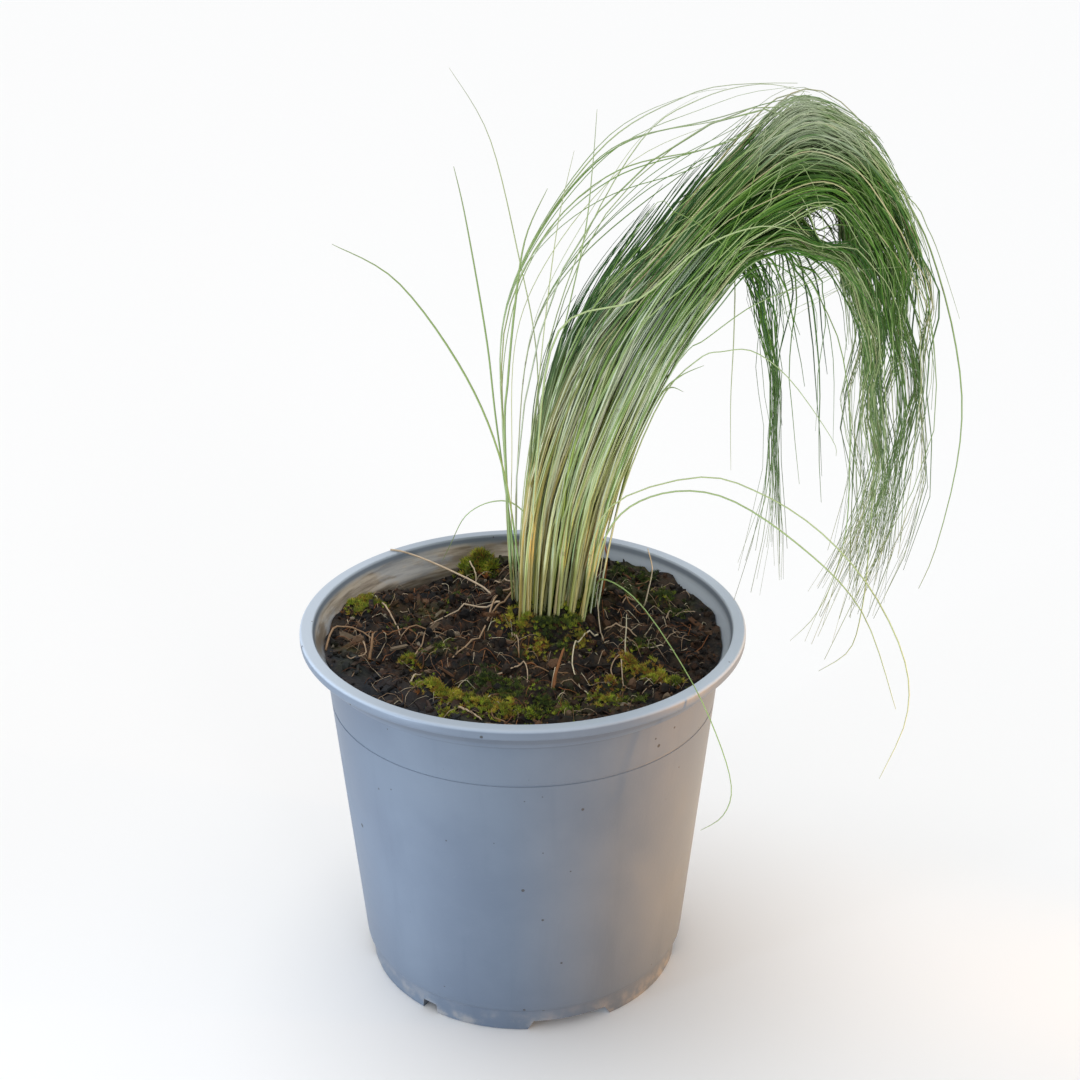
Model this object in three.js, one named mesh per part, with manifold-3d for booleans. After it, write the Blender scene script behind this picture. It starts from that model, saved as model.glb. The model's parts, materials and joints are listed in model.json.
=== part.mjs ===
// Mexican feather grass in a round plastic nursery pot.
// Millimetres, +Z up. The origin is on the pot's axis, on the surface that the pot stands on.
// The leaves lean towards +X and hang down past the rim on that side.

import * as THREE from 'three';
import { mergeVertices } from 'three/addons/utils/BufferGeometryUtils.js';
import Module from 'manifold-3d';

const wasm = await Module();
wasm.setup();

// ---- driving dimensions ----

const clearance = 0.3;

const pot = {
  height: 111.35,
  lipRadius: 65,
  lipInnerRadius: 61.3,
  lipDrop: 3.3,
  lipRounding: 0.9,
  ringRadius: 60.9,
  ringBottom: 103.4,
  wallRadiusAtFloor: 48.61,
  wallSlope: 0.0921,
  wallFoot: 11,
  wall: 0.95,
  grooveHeight: 89.5,
  grooveHalfWidth: 0.45,
  grooveDepth: 0.35,
  footRadius: 47.7,
  footTop: 6.6,
  baseLineTop: 8.1,
  floor: 1.3,
  sides: 44,
};

// Drainage notches in the foot ring: angles in degrees from the front (-Y), turning towards +X.
const notch = {
  spans: [[-39, -32], [0.8, 33.5], [74, 106], [141, 148], [180.8, 213.5], [254, 286]],
  height: 3.2,
  slant: 2.2,
  innerRadius: 31,
  skin: 1.3,
  drainHoleRadius: 2.6,
  drainHoleAt: 38.5,
};

const soil = {
  level: 104.6,
  sides: 36,
  topRings: [0.84, 0.67, 0.5, 0.34, 0.17],
  shoulder: 102.3,
  shoulderDrop: 0.6,
  rimSlope: 0.36,
  moundHeight: 1.4,
  moundSpread: 19,
  wallRise: 2,
  wallRiseFrom: 40,
  wallRiseTo: 57,
  bankHeight: 1.2,
  bankFrom: 22,
  bankTo: 48,
  hollow: { x: -33, y: 46, depth: 6, spread: 11 },
  broadRipple: 1.3,
  fineRipple: 1,
  lumps: 18,
  lumpSize: [3.2, 7],
  roots: 8,
  rootStart: [17, 22],
  rootReach: [12, 20],
  clearOfCrown: 19,
  rippleAtWall: 0.4,
};

const crown = { x: 10, y: 14, soilLevel: 106, depthInSoil: 12 };

const blade = { radius: 0.56, sides: 3, perTiller: 11, apart: 0.6 };
const sheath = { halfWidth: 2, halfDepth: 2.9, sides: 6, rootShare: 0.55, opensAt: 0.2 };

// The run of the leaves: six guide curves side by side in the XZ plane, each as 12 stations [x, z]
// from the soil over the crest of the arch to the hanging tip. base is where the guide leaves the
// soil, measured from the crown's centre along X.
const guides = [
  { base: -13, path: [[-3, 108], [-5.5, 150], [-1, 200], [25, 243], [48, 256], [71, 261.5],
    [92, 254], [106, 236], [116, 213], [121.5, 188], [123.5, 158], [117, 118]] },
  { base: -9, path: [[-1, 108], [0, 152], [11, 194], [35, 223], [54, 242], [73, 256],
    [89, 248], [101, 231], [107, 212], [110, 188], [111, 154], [102.5, 108]] },
  { base: -1.5, path: [[8, 108], [13, 149], [28, 190], [49, 222], [62, 236], [75.5, 243.5],
    [87, 238], [96, 225], [100.5, 208], [103, 183], [104, 149], [99.5, 103]] },
  { base: 9.4, path: [[19, 108], [25, 147], [39, 185], [58, 216], [66.5, 225], [76, 228.5],
    [84, 223.5], [89.5, 214], [91.5, 199], [93, 175], [94.5, 146], [95, 108]] },
  { base: 10.2, path: [[20.5, 108], [27, 143], [42, 176], [55, 207], [60, 217], [65, 220],
    [69, 214], [71, 203], [72, 188], [73, 171], [75.5, 146], [77, 116]] },
  { base: 13, path: [[23, 108], [29, 144], [43, 178], [54, 204], [58, 213], [60.5, 215.5],
    [63, 210], [65, 202], [67, 188], [68.5, 171], [70, 146], [72, 117]] },
];

// How far the bunch fans out in Y at the same stations, as a share of its depth at the soil.
const fan = [1, 1, 1.12, 1.36, 1.52, 1.64, 1.72, 1.76, 1.74, 1.6, 1.36, 1.08];

// Where along the stations (0 to 1) each leaf has its bends, closest together over the crest.
const bends = [0, 0.12, 0.23, 0.33, 0.42, 0.5, 0.6, 0.72, 0.87, 1];

const sway = { amount: 2, waveAlong: 21, waveAcross: 11 };

// Tillers stand in three rows: [row's centre in Y, number in the row], 5.2 apart in X.
const rows = [[-7.2, 4], [0, 5], [7.2, 4]];
const tillerPitch = { x: 5.2, y: 7.2 };

// Single leaves that stray from the bunch, each with the tiller it grows from.
const strays = [
  { tiller: 10, path: [[1, 22, 107.5], [4, 23, 150], [4, 25, 184], [-1, 28, 212], [-9, 31, 245],
    [-20, 34, 264]] },
  { tiller: 5, path: [[-1, 14, 107.5], [-3.6, 14, 134], [-7.6, 13.5, 168], [-10, 12, 193], [-15, 9, 227],
    [-18, 8, 242]] },
  { tiller: 1, path: [[1, 6, 107.5], [-1.5, 4, 130], [-6, 2, 160], [-16, 0, 187], [-33, -2, 213],
    [-50, -4, 224]] },
  { tiller: 4, path: [[18, 5, 107.5], [19.5, 2, 132], [27, -1, 149], [50, -5, 158], [67, -8, 154],
    [84, -10, 143], [99, -12, 126], [110, -13, 104], [112, -13, 85], [106, -12, 64]] },
  { tiller: 4, path: [[19.5, 6, 107.5], [23, -1, 133], [34, -5, 147], [55, -9, 147], [77, -13, 135],
    [95, -15, 117], [108, -16, 90]] },
  { tiller: 3, path: [[12, 5, 107.5], [14, 1, 124], [19, -6, 131], [31, -20, 128], [45, -44, 116],
    [53, -50, 100], [57, -52, 86], [55, -52, 77], [49, -53, 73]] },
  { tiller: 11, path: [[8, 22, 107.5], [6, 27, 124], [-2, 31, 134], [-10, 34, 134], [-18, 37, 128],
    [-23, 40, 117], [-26, 42, 110]] },
];

const colours = { pot: 0x8a97a8, soil: 0x33261c, leaf: 0x6f8f52 };

// ---- small tools ----

// Seeded draws, so that the plant is the same each time.
function seededDraw(seed) {
  let state = seed;
  return () => {
    state = (state + 0x6d2b79f5) | 0;
    let mixed = Math.imul(state ^ (state >>> 15), 1 | state);
    mixed = (mixed + Math.imul(mixed ^ (mixed >>> 7), 61 | mixed)) ^ mixed;
    return ((mixed ^ (mixed >>> 14)) >>> 0) / 4294967296;
  };
}

function mix(a, b, share) {
  return a + (b - a) * share;
}

function solidOf(geometry) {
  geometry.deleteAttribute('normal');
  geometry.deleteAttribute('uv');
  const merged = mergeVertices(geometry);
  return new wasm.Manifold(new wasm.Mesh({
    numProp: 3,
    vertProperties: Float32Array.from(merged.attributes.position.array),
    triVerts: Uint32Array.from(merged.index.array),
  }));
}

function joined(solids) {
  return solids.reduce((whole, next) => whole.add(next));
}

function meshOf(name, solid, material) {
  const { vertProperties, triVerts } = solid.getMesh();
  const geometry = new THREE.BufferGeometry();
  geometry.setAttribute('position', new THREE.BufferAttribute(vertProperties, 3));
  geometry.setIndex(new THREE.BufferAttribute(triVerts, 1));
  geometry.computeVertexNormals();
  const mesh = new THREE.Mesh(geometry, material);
  mesh.name = name;
  return mesh;
}

// A closed turned solid, from [radius, height] points.
function turned(profile, sides) {
  const geometry = new THREE.LatheGeometry(profile.map(([r, z]) => new THREE.Vector2(r, z)), sides);
  geometry.rotateX(Math.PI / 2);
  return geometry;
}

// A slim solid along a line of points, pointed at its far end. halfWidth and halfDepth give its
// size across the line in the XZ plane and in Y, at a share 0 to 1 of its points.
function spindle(points, sides, halfWidth, halfDepth = halfWidth) {
  const steps = points.length - 1;
  const geometry = new THREE.ConeGeometry(1, 1, sides, steps);
  const position = geometry.attributes.position;
  const lengthwise = new THREE.Vector3();
  const across = new THREE.Vector3();
  const depthwise = new THREE.Vector3();
  const rowOf = (index) => Math.round((position.getY(index) + 0.5) * steps);
  for (let i = 0; i < position.count; i += 1) {
    const row = rowOf(i);
    const share = row / steps;
    const size = Math.hypot(position.getX(i), position.getZ(i)) > 1e-6 ? 1 : 0;
    const angle = Math.atan2(position.getX(i), position.getZ(i));
    lengthwise.subVectors(points[Math.min(row + 1, steps)], points[Math.max(row - 1, 0)]).normalize();
    across.set(0, 1, 0).cross(lengthwise).normalize();
    depthwise.crossVectors(across, lengthwise);
    const place = points[row].clone();
    place.addScaledVector(across, size * Math.sin(angle) * halfWidth(share));
    place.addScaledVector(depthwise, size * Math.cos(angle) * halfDepth(share));
    position.setXYZ(i, place.x, place.y, place.z);
  }
  return solidOf(geometry);
}

// ---- pot ----

function wallRadius(z) {
  return pot.wallRadiusAtFloor + pot.wallSlope * z;
}

function innerRadius(z) {
  return wallRadius(Math.min(z, pot.ringBottom)) - pot.wall;
}

function potProfile() {
  const lipBottom = pot.height - pot.lipDrop;
  const grooveBottom = pot.grooveHeight - pot.grooveHalfWidth;
  const grooveTop = pot.grooveHeight + pot.grooveHalfWidth;
  const round = pot.lipRounding;
  const innerFoot = pot.footRadius - 1.5 * pot.wall;
  return [
    [0, 0],
    [pot.footRadius - round / 2, 0],
    [pot.footRadius, round / 2],
    [pot.footRadius + 0.2, pot.footTop],
    [wallRadius(pot.baseLineTop) - 0.2, pot.baseLineTop],
    [wallRadius(pot.wallFoot), pot.wallFoot],
    [wallRadius(grooveBottom), grooveBottom],
    [wallRadius(pot.grooveHeight) - pot.grooveDepth, pot.grooveHeight],
    [wallRadius(grooveTop), grooveTop],
    [wallRadius(pot.ringBottom), pot.ringBottom],
    [pot.ringRadius, pot.ringBottom + round],
    [pot.ringRadius + 1, lipBottom - 0.2],
    [pot.lipRadius - round, lipBottom],
    [pot.lipRadius, lipBottom + round],
    [pot.lipRadius, pot.height - round],
    [pot.lipRadius - round, pot.height],
    [pot.lipInnerRadius, pot.height],
    [pot.lipInnerRadius - 1, lipBottom],
    [innerRadius(pot.ringBottom) + 0.8, pot.ringBottom + 1.5 * round],
    [innerRadius(pot.ringBottom), pot.ringBottom - round],
    [innerRadius(pot.wallFoot), pot.wallFoot],
    [innerFoot, pot.footTop],
    [innerFoot - 0.5, pot.floor],
    [0, pot.floor],
  ];
}

// A flat block between two radii and two angles, its ends leaning inwards by slant towards the top.
function ringBlock(inner, outer, span, bottom, top, slant) {
  const [from, to] = span.map((degrees) => THREE.MathUtils.degToRad(degrees - 90));
  const outline = new THREE.Shape();
  outline.absarc(0, 0, outer, from, to, false);
  outline.absarc(0, 0, inner, to, from, true);
  const geometry = new THREE.ExtrudeGeometry(outline, {
    depth: top - bottom,
    bevelEnabled: false,
    curveSegments: 2,
  });
  geometry.translate(0, 0, bottom);
  const position = geometry.attributes.position;
  const middle = (from + to) / 2;
  for (let i = 0; i < position.count; i += 1) {
    const radius = Math.hypot(position.getX(i), position.getY(i));
    let turn = Math.atan2(position.getY(i), position.getX(i)) - middle;
    turn = Math.atan2(Math.sin(turn), Math.cos(turn));
    const rise = (position.getZ(i) - bottom) / (top - bottom);
    const kept = 1 - rise * (slant / outer) / ((to - from) / 2);
    position.setX(i, radius * Math.cos(middle + turn * kept));
    position.setY(i, radius * Math.sin(middle + turn * kept));
  }
  return solidOf(geometry);
}

function drainHole(angle) {
  const hole = new THREE.CylinderGeometry(notch.drainHoleRadius, notch.drainHoleRadius, 20, 8);
  hole.rotateX(Math.PI / 2);
  const turn = THREE.MathUtils.degToRad(angle - 90);
  hole.translate(notch.drainHoleAt * Math.cos(turn), notch.drainHoleAt * Math.sin(turn), 0);
  return solidOf(hole);
}

function makePot() {
  let body = solidOf(turned(potProfile(), pot.sides));
  for (const [from, to] of notch.spans) {
    const sideSkin = THREE.MathUtils.radToDeg(notch.skin / notch.innerRadius);
    const roofSpan = [from - sideSkin, to + sideSkin];
    const roofTop = notch.height + notch.skin;
    const roofEnd = pot.footRadius - pot.wall;
    body = body.add(ringBlock(notch.innerRadius - notch.skin, roofEnd, roofSpan, 0, roofTop, notch.slant));
  }
  for (const [from, to] of notch.spans) {
    const beyond = pot.lipRadius;
    body = body.subtract(ringBlock(notch.innerRadius, beyond, [from, to], -1, notch.height, notch.slant));
    body = body.subtract(drainHole((from + to) / 2));
  }
  return body;
}

// ---- soil ----

function soilRipple(x, y) {
  const broad = Math.sin(x / 6.1 + 0.7) * Math.sin(y / 5.3 + 1.1);
  const fine = Math.sin(x / 2.9 + y / 4.1) * Math.cos(y / 3.3 - x / 5.7);
  return soil.broadRipple * broad + soil.fineRipple * fine;
}

function bump(x, y, middle, spread) {
  return Math.exp(-0.5 * (Math.hypot(x - middle.x, y - middle.y) / spread) ** 2);
}

// The surface rises in a mound at the crown and towards the wall, most at the right and back, and
// has sunk in a hollow at the back left.
function soilTop(x, y) {
  const { smoothstep } = THREE.MathUtils;
  const atWall = smoothstep(Math.hypot(x, y), soil.wallRiseFrom, soil.wallRiseTo);
  const mound = soil.moundHeight * bump(x, y, crown, soil.moundSpread);
  const bank = soil.bankHeight * smoothstep(x * 0.8 + y * 0.35, soil.bankFrom, soil.bankTo);
  const hollow = soil.hollow.depth * bump(x, y, soil.hollow, soil.hollow.spread);
  const fromCrown = Math.hypot(x - crown.x, y - crown.y);
  const ripple = soilRipple(x, y) * smoothstep(fromCrown, 11, soil.clearOfCrown);
  return soil.level + mound + soil.wallRise * atWall + bank - hollow + ripple * mix(1, soil.rippleAtWall, atWall);
}

function soilBody() {
  const bottom = pot.floor + clearance;
  const plugRadius = notch.innerRadius - notch.skin - 1;
  const shelf = notch.height + notch.skin + clearance;
  const side = (z) => innerRadius(z) - clearance;
  const edge = side(soil.level);
  const rim = (z) => side(Math.min(z, soil.shoulder)) + soil.rimSlope * Math.max(0, z - soil.shoulder);
  const profile = [
    [0, bottom],
    [plugRadius, bottom],
    [plugRadius, shelf],
    [pot.footRadius - 2.5 * pot.wall, shelf],
    [side(pot.wallFoot) - clearance, pot.wallFoot],
    [side(soil.level / 2), soil.level / 2],
    [edge, soil.shoulder],
    [edge, soil.level],
    ...soil.topRings.map((share) => [edge * share, soil.level]),
    [0, soil.level],
  ];
  const geometry = turned(profile, soil.sides);
  const position = geometry.attributes.position;
  for (let i = 0; i < position.count; i += 1) {
    const x = position.getX(i);
    const y = position.getY(i);
    const top = soilTop(x, y);
    if (position.getZ(i) > soil.level - 0.01) {
      const pull = Math.hypot(x, y) > edge - 0.01 ? rim(top) / edge : 1;
      position.setXYZ(i, x * pull, y * pull, top);
    } else if (position.getZ(i) > soil.shoulder - 0.01) {
      const height = Math.min(soil.shoulder, top - soil.shoulderDrop);
      position.setXYZ(i, x * side(height) / edge, y * side(height) / edge, height);
    }
  }
  return solidOf(geometry);
}

// Bark chips and crumbs, half sunk in the surface.
function soilLumps(draw) {
  const lumps = [];
  while (lumps.length < soil.lumps) {
    const angle = draw() * 2 * Math.PI;
    const radius = Math.sqrt(mix(0.03, 0.8, draw())) * innerRadius(soil.level);
    const x = radius * Math.cos(angle);
    const y = radius * Math.sin(angle);
    const size = mix(...soil.lumpSize, draw());
    const lump = new THREE.BoxGeometry(size, size * mix(0.35, 0.6, draw()), size * 0.5);
    lump.rotateX(mix(-0.5, 0.5, draw()));
    lump.rotateY(mix(-0.5, 0.5, draw()));
    lump.rotateZ(draw() * Math.PI);
    lump.translate(x, y, soilTop(x, y) + 0.3);
    if (Math.hypot(x - crown.x, y - crown.y) > soil.clearOfCrown) {
      lumps.push(solidOf(lump));
    }
  }
  return lumps;
}

// Old roots and dry stalks: each starts in the soil, lies along it in a low arch and dips in again.
function soilRoots(draw) {
  const roots = [];
  for (let i = 0; i < soil.roots; i += 1) {
    const angle = (i / soil.roots) * 2 * Math.PI + draw() * 0.4;
    const start = mix(...soil.rootStart, draw());
    const reach = mix(...soil.rootReach, draw());
    const curl = mix(-0.9, 0.9, draw());
    const points = [];
    for (let step = 0; step <= 5; step += 1) {
      const along = step / 5;
      const turn = angle + curl * along;
      const far = start + reach * along;
      const x = crown.x + far * Math.cos(turn);
      const y = crown.y + far * Math.sin(turn);
      const lift = Math.sin(along * Math.PI) * 2 - 0.9;
      if (Math.hypot(x, y) < innerRadius(soil.level) - 4) {
        points.push(new THREE.Vector3(x, y, soilTop(x, y) + lift));
      }
    }
    if (points.length > 3) {
      roots.push(spindle(points, 3, (share) => mix(0.8, 0.4, share)));
    }
  }
  return roots;
}

// ---- grass ----

function catmullRom(values, share) {
  const curve = new THREE.SplineCurve(values.map(([x, z]) => new THREE.Vector2(x, z)));
  return curve.getPoint(share);
}

// The guides' places and the fan's share at each bend of the leaves.
const guidesAtBends = guides.map(({ path }) => bends.map((share) => catmullRom(path, share)));
const fanAtBends = bends.map((share) => catmullRom(fan.map((width, i) => [width, i]), share).x);

function guideLeftOf(base) {
  let left = 0;
  while (left < guides.length - 2 && guides[left + 1].base <= base) {
    left += 1;
  }
  return left;
}

function spreadOf(left, bend) {
  const apart = guidesAtBends[left][bend].distanceTo(guidesAtBends[left + 1][bend]);
  return apart / (guides[left + 1].base - guides[left].base);
}

// Where the leaf that leaves the soil at (base, depth) from the crown's centre is at a bend.
function bunchPoint(base, depth, bend) {
  const left = guideLeftOf(base);
  const share = (base - guides[left].base) / (guides[left + 1].base - guides[left].base);
  const place = guidesAtBends[left][bend].clone().lerp(guidesAtBends[left + 1][bend], share);
  const y = crown.y + depth * fanAtBends[bend];
  const wave = Math.sin(place.y / sway.waveAlong + y / sway.waveAcross);
  const grown = THREE.MathUtils.smoothstep(bend, 0, 2);
  const swayed = sway.amount * grown;
  return new THREE.Vector3(
    place.x + swayed * wave,
    y + swayed * Math.cos(place.y / sway.waveAlong + place.x / sway.waveAlong),
    place.y,
  );
}

// A tiller's cell of the bunch, by its place in the crown.
function cellAt(column, columns, row) {
  const middle = (column - (columns - 1) / 2) * tillerPitch.x;
  return {
    x: middle,
    y: row,
    left: middle - tillerPitch.x / 2,
    right: middle + tillerPitch.x / 2,
    front: row - tillerPitch.y / 2,
    back: row + tillerPitch.y / 2,
    apart: {
      left: column > 0 ? blade.apart : 0,
      right: column < columns - 1 ? blade.apart : 0,
      front: row > rows[0][0] ? blade.apart : 0,
      back: row < rows[2][0] ? blade.apart : 0,
    },
  };
}

// A place in a cell, p and q running from -1 to 1 across it, kept clear of the cells beside it.
function cellPoint(cell, p, q, bend) {
  const left = cell.left + cell.apart.left / spreadOf(guideLeftOf(cell.left), bend);
  const right = cell.right - cell.apart.right / spreadOf(guideLeftOf(cell.right - 0.01), bend);
  const base = mix(Math.min(left, cell.x), Math.max(right, cell.x), (p + 1) / 2);
  const front = cell.front + cell.apart.front / fanAtBends[bend];
  const back = cell.back - cell.apart.back / fanAtBends[bend];
  const depth = mix(front, back, (q + 1) / 2);
  const gathered = mix(sheath.rootShare, 1, THREE.MathUtils.smoothstep(bends[bend], 0, sheath.opensAt));
  return bunchPoint(mix(cell.x, base, gathered), mix(cell.y, depth, gathered), bend);
}

// The points of a leaf from the soil to where it ends, at a share of the stations.
function bladePoints(cell, p, q, end) {
  const points = [];
  for (let bend = 0; bend < bends.length && bends[bend] < end; bend += 1) {
    points.push(cellPoint(cell, p, q, bend));
  }
  const last = points.length - 1;
  const beyond = cellPoint(cell, p, q, last + 1);
  const share = (end - bends[last]) / (bends[last + 1] - bends[last]);
  points.push(points[last].clone().lerp(beyond, share));
  return points;
}

function bladeRadius(share) {
  return blade.radius * (share < 0.8 ? 1 : 0.8);
}

function makeSheath(cell) {
  const top = 5;
  const points = [];
  for (let bend = 0; bend <= top; bend += 1) {
    points.push(cellPoint(cell, 0, 0, bend));
  }
  const foot = points[0].clone();
  foot.z = crown.soilLevel - crown.depthInSoil;
  points.unshift(foot);
  const taper = (share) => mix(1, 0.28, THREE.MathUtils.smoothstep(share, 0.2, 1));
  return spindle(
    points,
    sheath.sides,
    (share) => sheath.halfWidth * taper(share),
    (share) => sheath.halfDepth * taper(share),
  );
}

function makeTiller(cell, number) {
  const draw = seededDraw(1000 + number);
  const pieces = [makeSheath(cell)];
  const goldenStep = 0.618034;
  for (let i = 0; i < blade.perTiller; i += 1) {
    const p = (i / (blade.perTiller - 1)) * 2 - 1;
    const q = (((i * goldenStep + draw() * 0.1) % 1) * 2 - 1);
    const end = i % 5 === 2 ? mix(0.5, 0.75, draw()) : mix(0.8, 1, draw());
    pieces.push(spindle(bladePoints(cell, p, q, end), blade.sides, bladeRadius));
  }
  for (const { tiller, path } of strays) {
    if (tiller === number) {
      const curve = new THREE.CatmullRomCurve3(path.map((place) => new THREE.Vector3(...place)));
      const points = curve.getPoints(path.length + 3);
      pieces.push(spindle(points, blade.sides, bladeRadius));
    }
  }
  return joined(pieces);
}

// The plain hole in the soil that a tiller stands in.
function tillerHole(cell) {
  const depth = crown.depthInSoil + clearance;
  const hole = new THREE.CylinderGeometry(1, 1, depth + 20, sheath.sides);
  hole.rotateX(Math.PI / 2);
  hole.scale(sheath.halfWidth + clearance * 1.2, sheath.halfDepth + clearance * 1.2, 1);
  const foot = cellPoint(cell, 0, 0, 0);
  hole.translate(foot.x, foot.y, crown.soilLevel - depth + (depth + 20) / 2);
  return solidOf(hole);
}

// ---- the whole plant ----

function leafMaterial(shade) {
  const colour = new THREE.Color(colours.leaf).offsetHSL(0, 0, shade);
  return new THREE.MeshStandardMaterial({ color: colour, roughness: 0.6, metalness: 0 });
}

const potMaterial = new THREE.MeshStandardMaterial({ color: colours.pot, roughness: 0.55, metalness: 0 });
const soilMaterial = new THREE.MeshStandardMaterial({ color: colours.soil, roughness: 0.95, metalness: 0 });

const cells = rows.flatMap(([row, columns]) =>
  Array.from({ length: columns }, (_, column) => cellAt(column, columns, row)));

const soilDraw = seededDraw(77);
const soilWithHoles = joined([soilBody(), ...soilLumps(soilDraw), ...soilRoots(soilDraw)])
  .subtract(joined(cells.map(tillerHole)));

const plant = new THREE.Group();
plant.add(meshOf('pot', makePot(), potMaterial));
plant.add(meshOf('soil', soilWithHoles, soilMaterial));
cells.forEach((cell, i) => {
  const number = i + 1;
  const name = `tiller_${String(number).padStart(2, '0')}`;
  plant.add(meshOf(name, makeTiller(cell, number), leafMaterial(((i % 3) - 1) * 0.04)));
});

export default plant;
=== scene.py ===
import json
import math
import random

import bpy
from mathutils import Euler, Matrix, Vector, noise

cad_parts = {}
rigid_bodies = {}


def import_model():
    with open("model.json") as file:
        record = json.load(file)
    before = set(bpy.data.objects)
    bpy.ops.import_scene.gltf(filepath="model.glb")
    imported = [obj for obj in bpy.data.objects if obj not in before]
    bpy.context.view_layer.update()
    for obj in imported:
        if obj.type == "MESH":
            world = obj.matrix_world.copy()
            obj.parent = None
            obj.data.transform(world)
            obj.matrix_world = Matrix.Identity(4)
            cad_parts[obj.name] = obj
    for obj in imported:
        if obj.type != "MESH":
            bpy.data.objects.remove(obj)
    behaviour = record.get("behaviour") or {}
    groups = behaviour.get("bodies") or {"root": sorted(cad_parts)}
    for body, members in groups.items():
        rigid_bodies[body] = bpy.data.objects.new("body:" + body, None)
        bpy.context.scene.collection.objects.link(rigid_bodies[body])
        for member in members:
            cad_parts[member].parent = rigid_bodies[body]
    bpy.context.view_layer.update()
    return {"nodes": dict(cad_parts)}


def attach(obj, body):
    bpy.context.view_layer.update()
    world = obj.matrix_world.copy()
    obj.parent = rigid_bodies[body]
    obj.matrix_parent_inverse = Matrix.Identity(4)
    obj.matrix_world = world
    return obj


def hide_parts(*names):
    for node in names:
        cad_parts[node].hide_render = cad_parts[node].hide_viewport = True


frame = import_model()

mm = 0.001  # sizes below are in millimetres, meshes in metres
print("frame loaded,", len(frame["nodes"]), "nodes")


def mix(a, b, share):
    return a + (b - a) * share


def smooth(value, low, high):
    share = min(max((value - low) / (high - low), 0), 1)
    return share * share * (3 - 2 * share)


def anyTurn(draw):
    return draw.uniform(0, 6.3)


def selectOnly(*pieces):
    if bpy.context.object and bpy.context.object.mode != "OBJECT":
        bpy.ops.object.mode_set(mode="OBJECT")
    bpy.ops.object.select_all(action="DESELECT")
    for piece in pieces:
        piece.select_set(True)
    if pieces:
        bpy.context.view_layer.objects.active = pieces[0]


def editMode(piece, kind="VERT"):
    selectOnly(piece)
    bpy.ops.object.mode_set(mode="EDIT")
    bpy.ops.mesh.select_mode(type=kind)
    bpy.ops.mesh.select_all(action="SELECT")


def applyPlace(piece):
    selectOnly(piece)
    bpy.ops.object.transform_apply(location=True, rotation=True, scale=True)


def applyModifiers(piece):
    selectOnly(piece)
    for modifier in list(piece.modifiers):
        bpy.ops.object.modifier_apply(modifier=modifier.name)


def joinAll(pieces, name):
    selectOnly(*pieces)
    bpy.ops.object.join()
    whole = bpy.context.object
    whole.name = name
    whole.data.name = name
    return whole


def settle(piece, material, slotName, *nodes):
    piece.data.materials.clear()
    piece.data.materials.append(material)
    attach(piece, "root")
    if nodes:
        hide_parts(*nodes)
    return piece


# node helpers: a value that is a socket is linked, anything else is set on the socket

def addNode(tree, kind, settings=None, inputs=None):
    node = tree.nodes.new(kind)
    for name, value in (settings or {}).items():
        setattr(node, name, value)
    for name, value in (inputs or {}).items():
        socket = node.inputs[name]
        if isinstance(value, bpy.types.NodeSocket):
            tree.links.new(value, socket)
        else:
            socket.default_value = value
    return node


def addRamp(tree, factor, stops):
    node = addNode(tree, "ShaderNodeValToRGB", inputs={"Fac": factor})
    elements = node.color_ramp.elements
    while len(elements) < len(stops):
        elements.new(0.5)
    for element, (place, colour) in zip(elements, stops):
        element.position = place
        element.color = (*colour, 1)
    return node.outputs["Color"]


def addMix(tree, factor, under, over):
    values = [value if isinstance(value, bpy.types.NodeSocket) else (*value, 1) for value in (under, over)]
    inputs = {0: factor, 6: values[0], 7: values[1]}
    return addNode(tree, "ShaderNodeMix", {"data_type": "RGBA"}, inputs).outputs[2]


def addMath(tree, operation, a, b=0.5):
    return addNode(tree, "ShaderNodeMath", {"operation": operation}, {0: a, 1: b}).outputs["Value"]


def times(tree, a, b):
    return addMath(tree, "MULTIPLY", a, b)


def paint(tree, under, over, mask, strength):
    return addMix(tree, times(tree, mask, strength), under, over)


def addRange(tree, value, low, high, toLow=0.0, toHigh=1.0):
    inputs = {"Value": value, "From Min": low, "From Max": high, "To Min": toLow, "To Max": toHigh}
    node = addNode(tree, "ShaderNodeMapRange", {"interpolation_type": "SMOOTHSTEP"}, inputs)
    return node.outputs["Result"]


def addRise(tree, length, span, toLow=0.0, toHigh=1.0):
    return addRange(tree, length, span[0] * mm, span[1] * mm, toLow, toHigh)


def addStretch(tree, scale=(1, 1, 1)):
    place = addNode(tree, "ShaderNodeTexCoord").outputs["Object"]
    return addNode(tree, "ShaderNodeMapping", inputs={"Vector": place, "Scale": scale}).outputs["Vector"]


def addParts(tree, place):
    parts = addNode(tree, "ShaderNodeSeparateXYZ", inputs={"Vector": place})
    return [parts.outputs[axis] for axis in "XYZ"]


def addShade(tree, name="tone"):
    return addNode(tree, "ShaderNodeAttribute", {"attribute_name": name}).outputs["Fac"]


def addGrain(tree, place, scale, detail):
    inputs = {"Vector": place, "Scale": scale, "Detail": detail}
    return addNode(tree, "ShaderNodeTexNoise", inputs=inputs).outputs["Fac"]


def addBump(tree, height, distance, strength=1.0):
    inputs = {"Height": height, "Distance": distance * mm, "Strength": strength}
    return addNode(tree, "ShaderNodeBump", inputs=inputs).outputs["Normal"]


# masks that more than one finish uses are node groups, each with its values as inputs and one mask out

def newGroup(name, values):
    group = bpy.data.node_groups.new(name, "ShaderNodeTree")
    group.interface.new_socket("Vector", in_out="INPUT", socket_type="NodeSocketVector")
    for socketName, value in values.items():
        socket = group.interface.new_socket(socketName, in_out="INPUT", socket_type="NodeSocketFloat")
        socket.default_value = value
    group.interface.new_socket("Mask", in_out="OUTPUT", socket_type="NodeSocketFloat")
    given = group.nodes.new("NodeGroupInput").outputs
    return group, given, group.nodes.new("NodeGroupOutput").inputs["Mask"]


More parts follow.
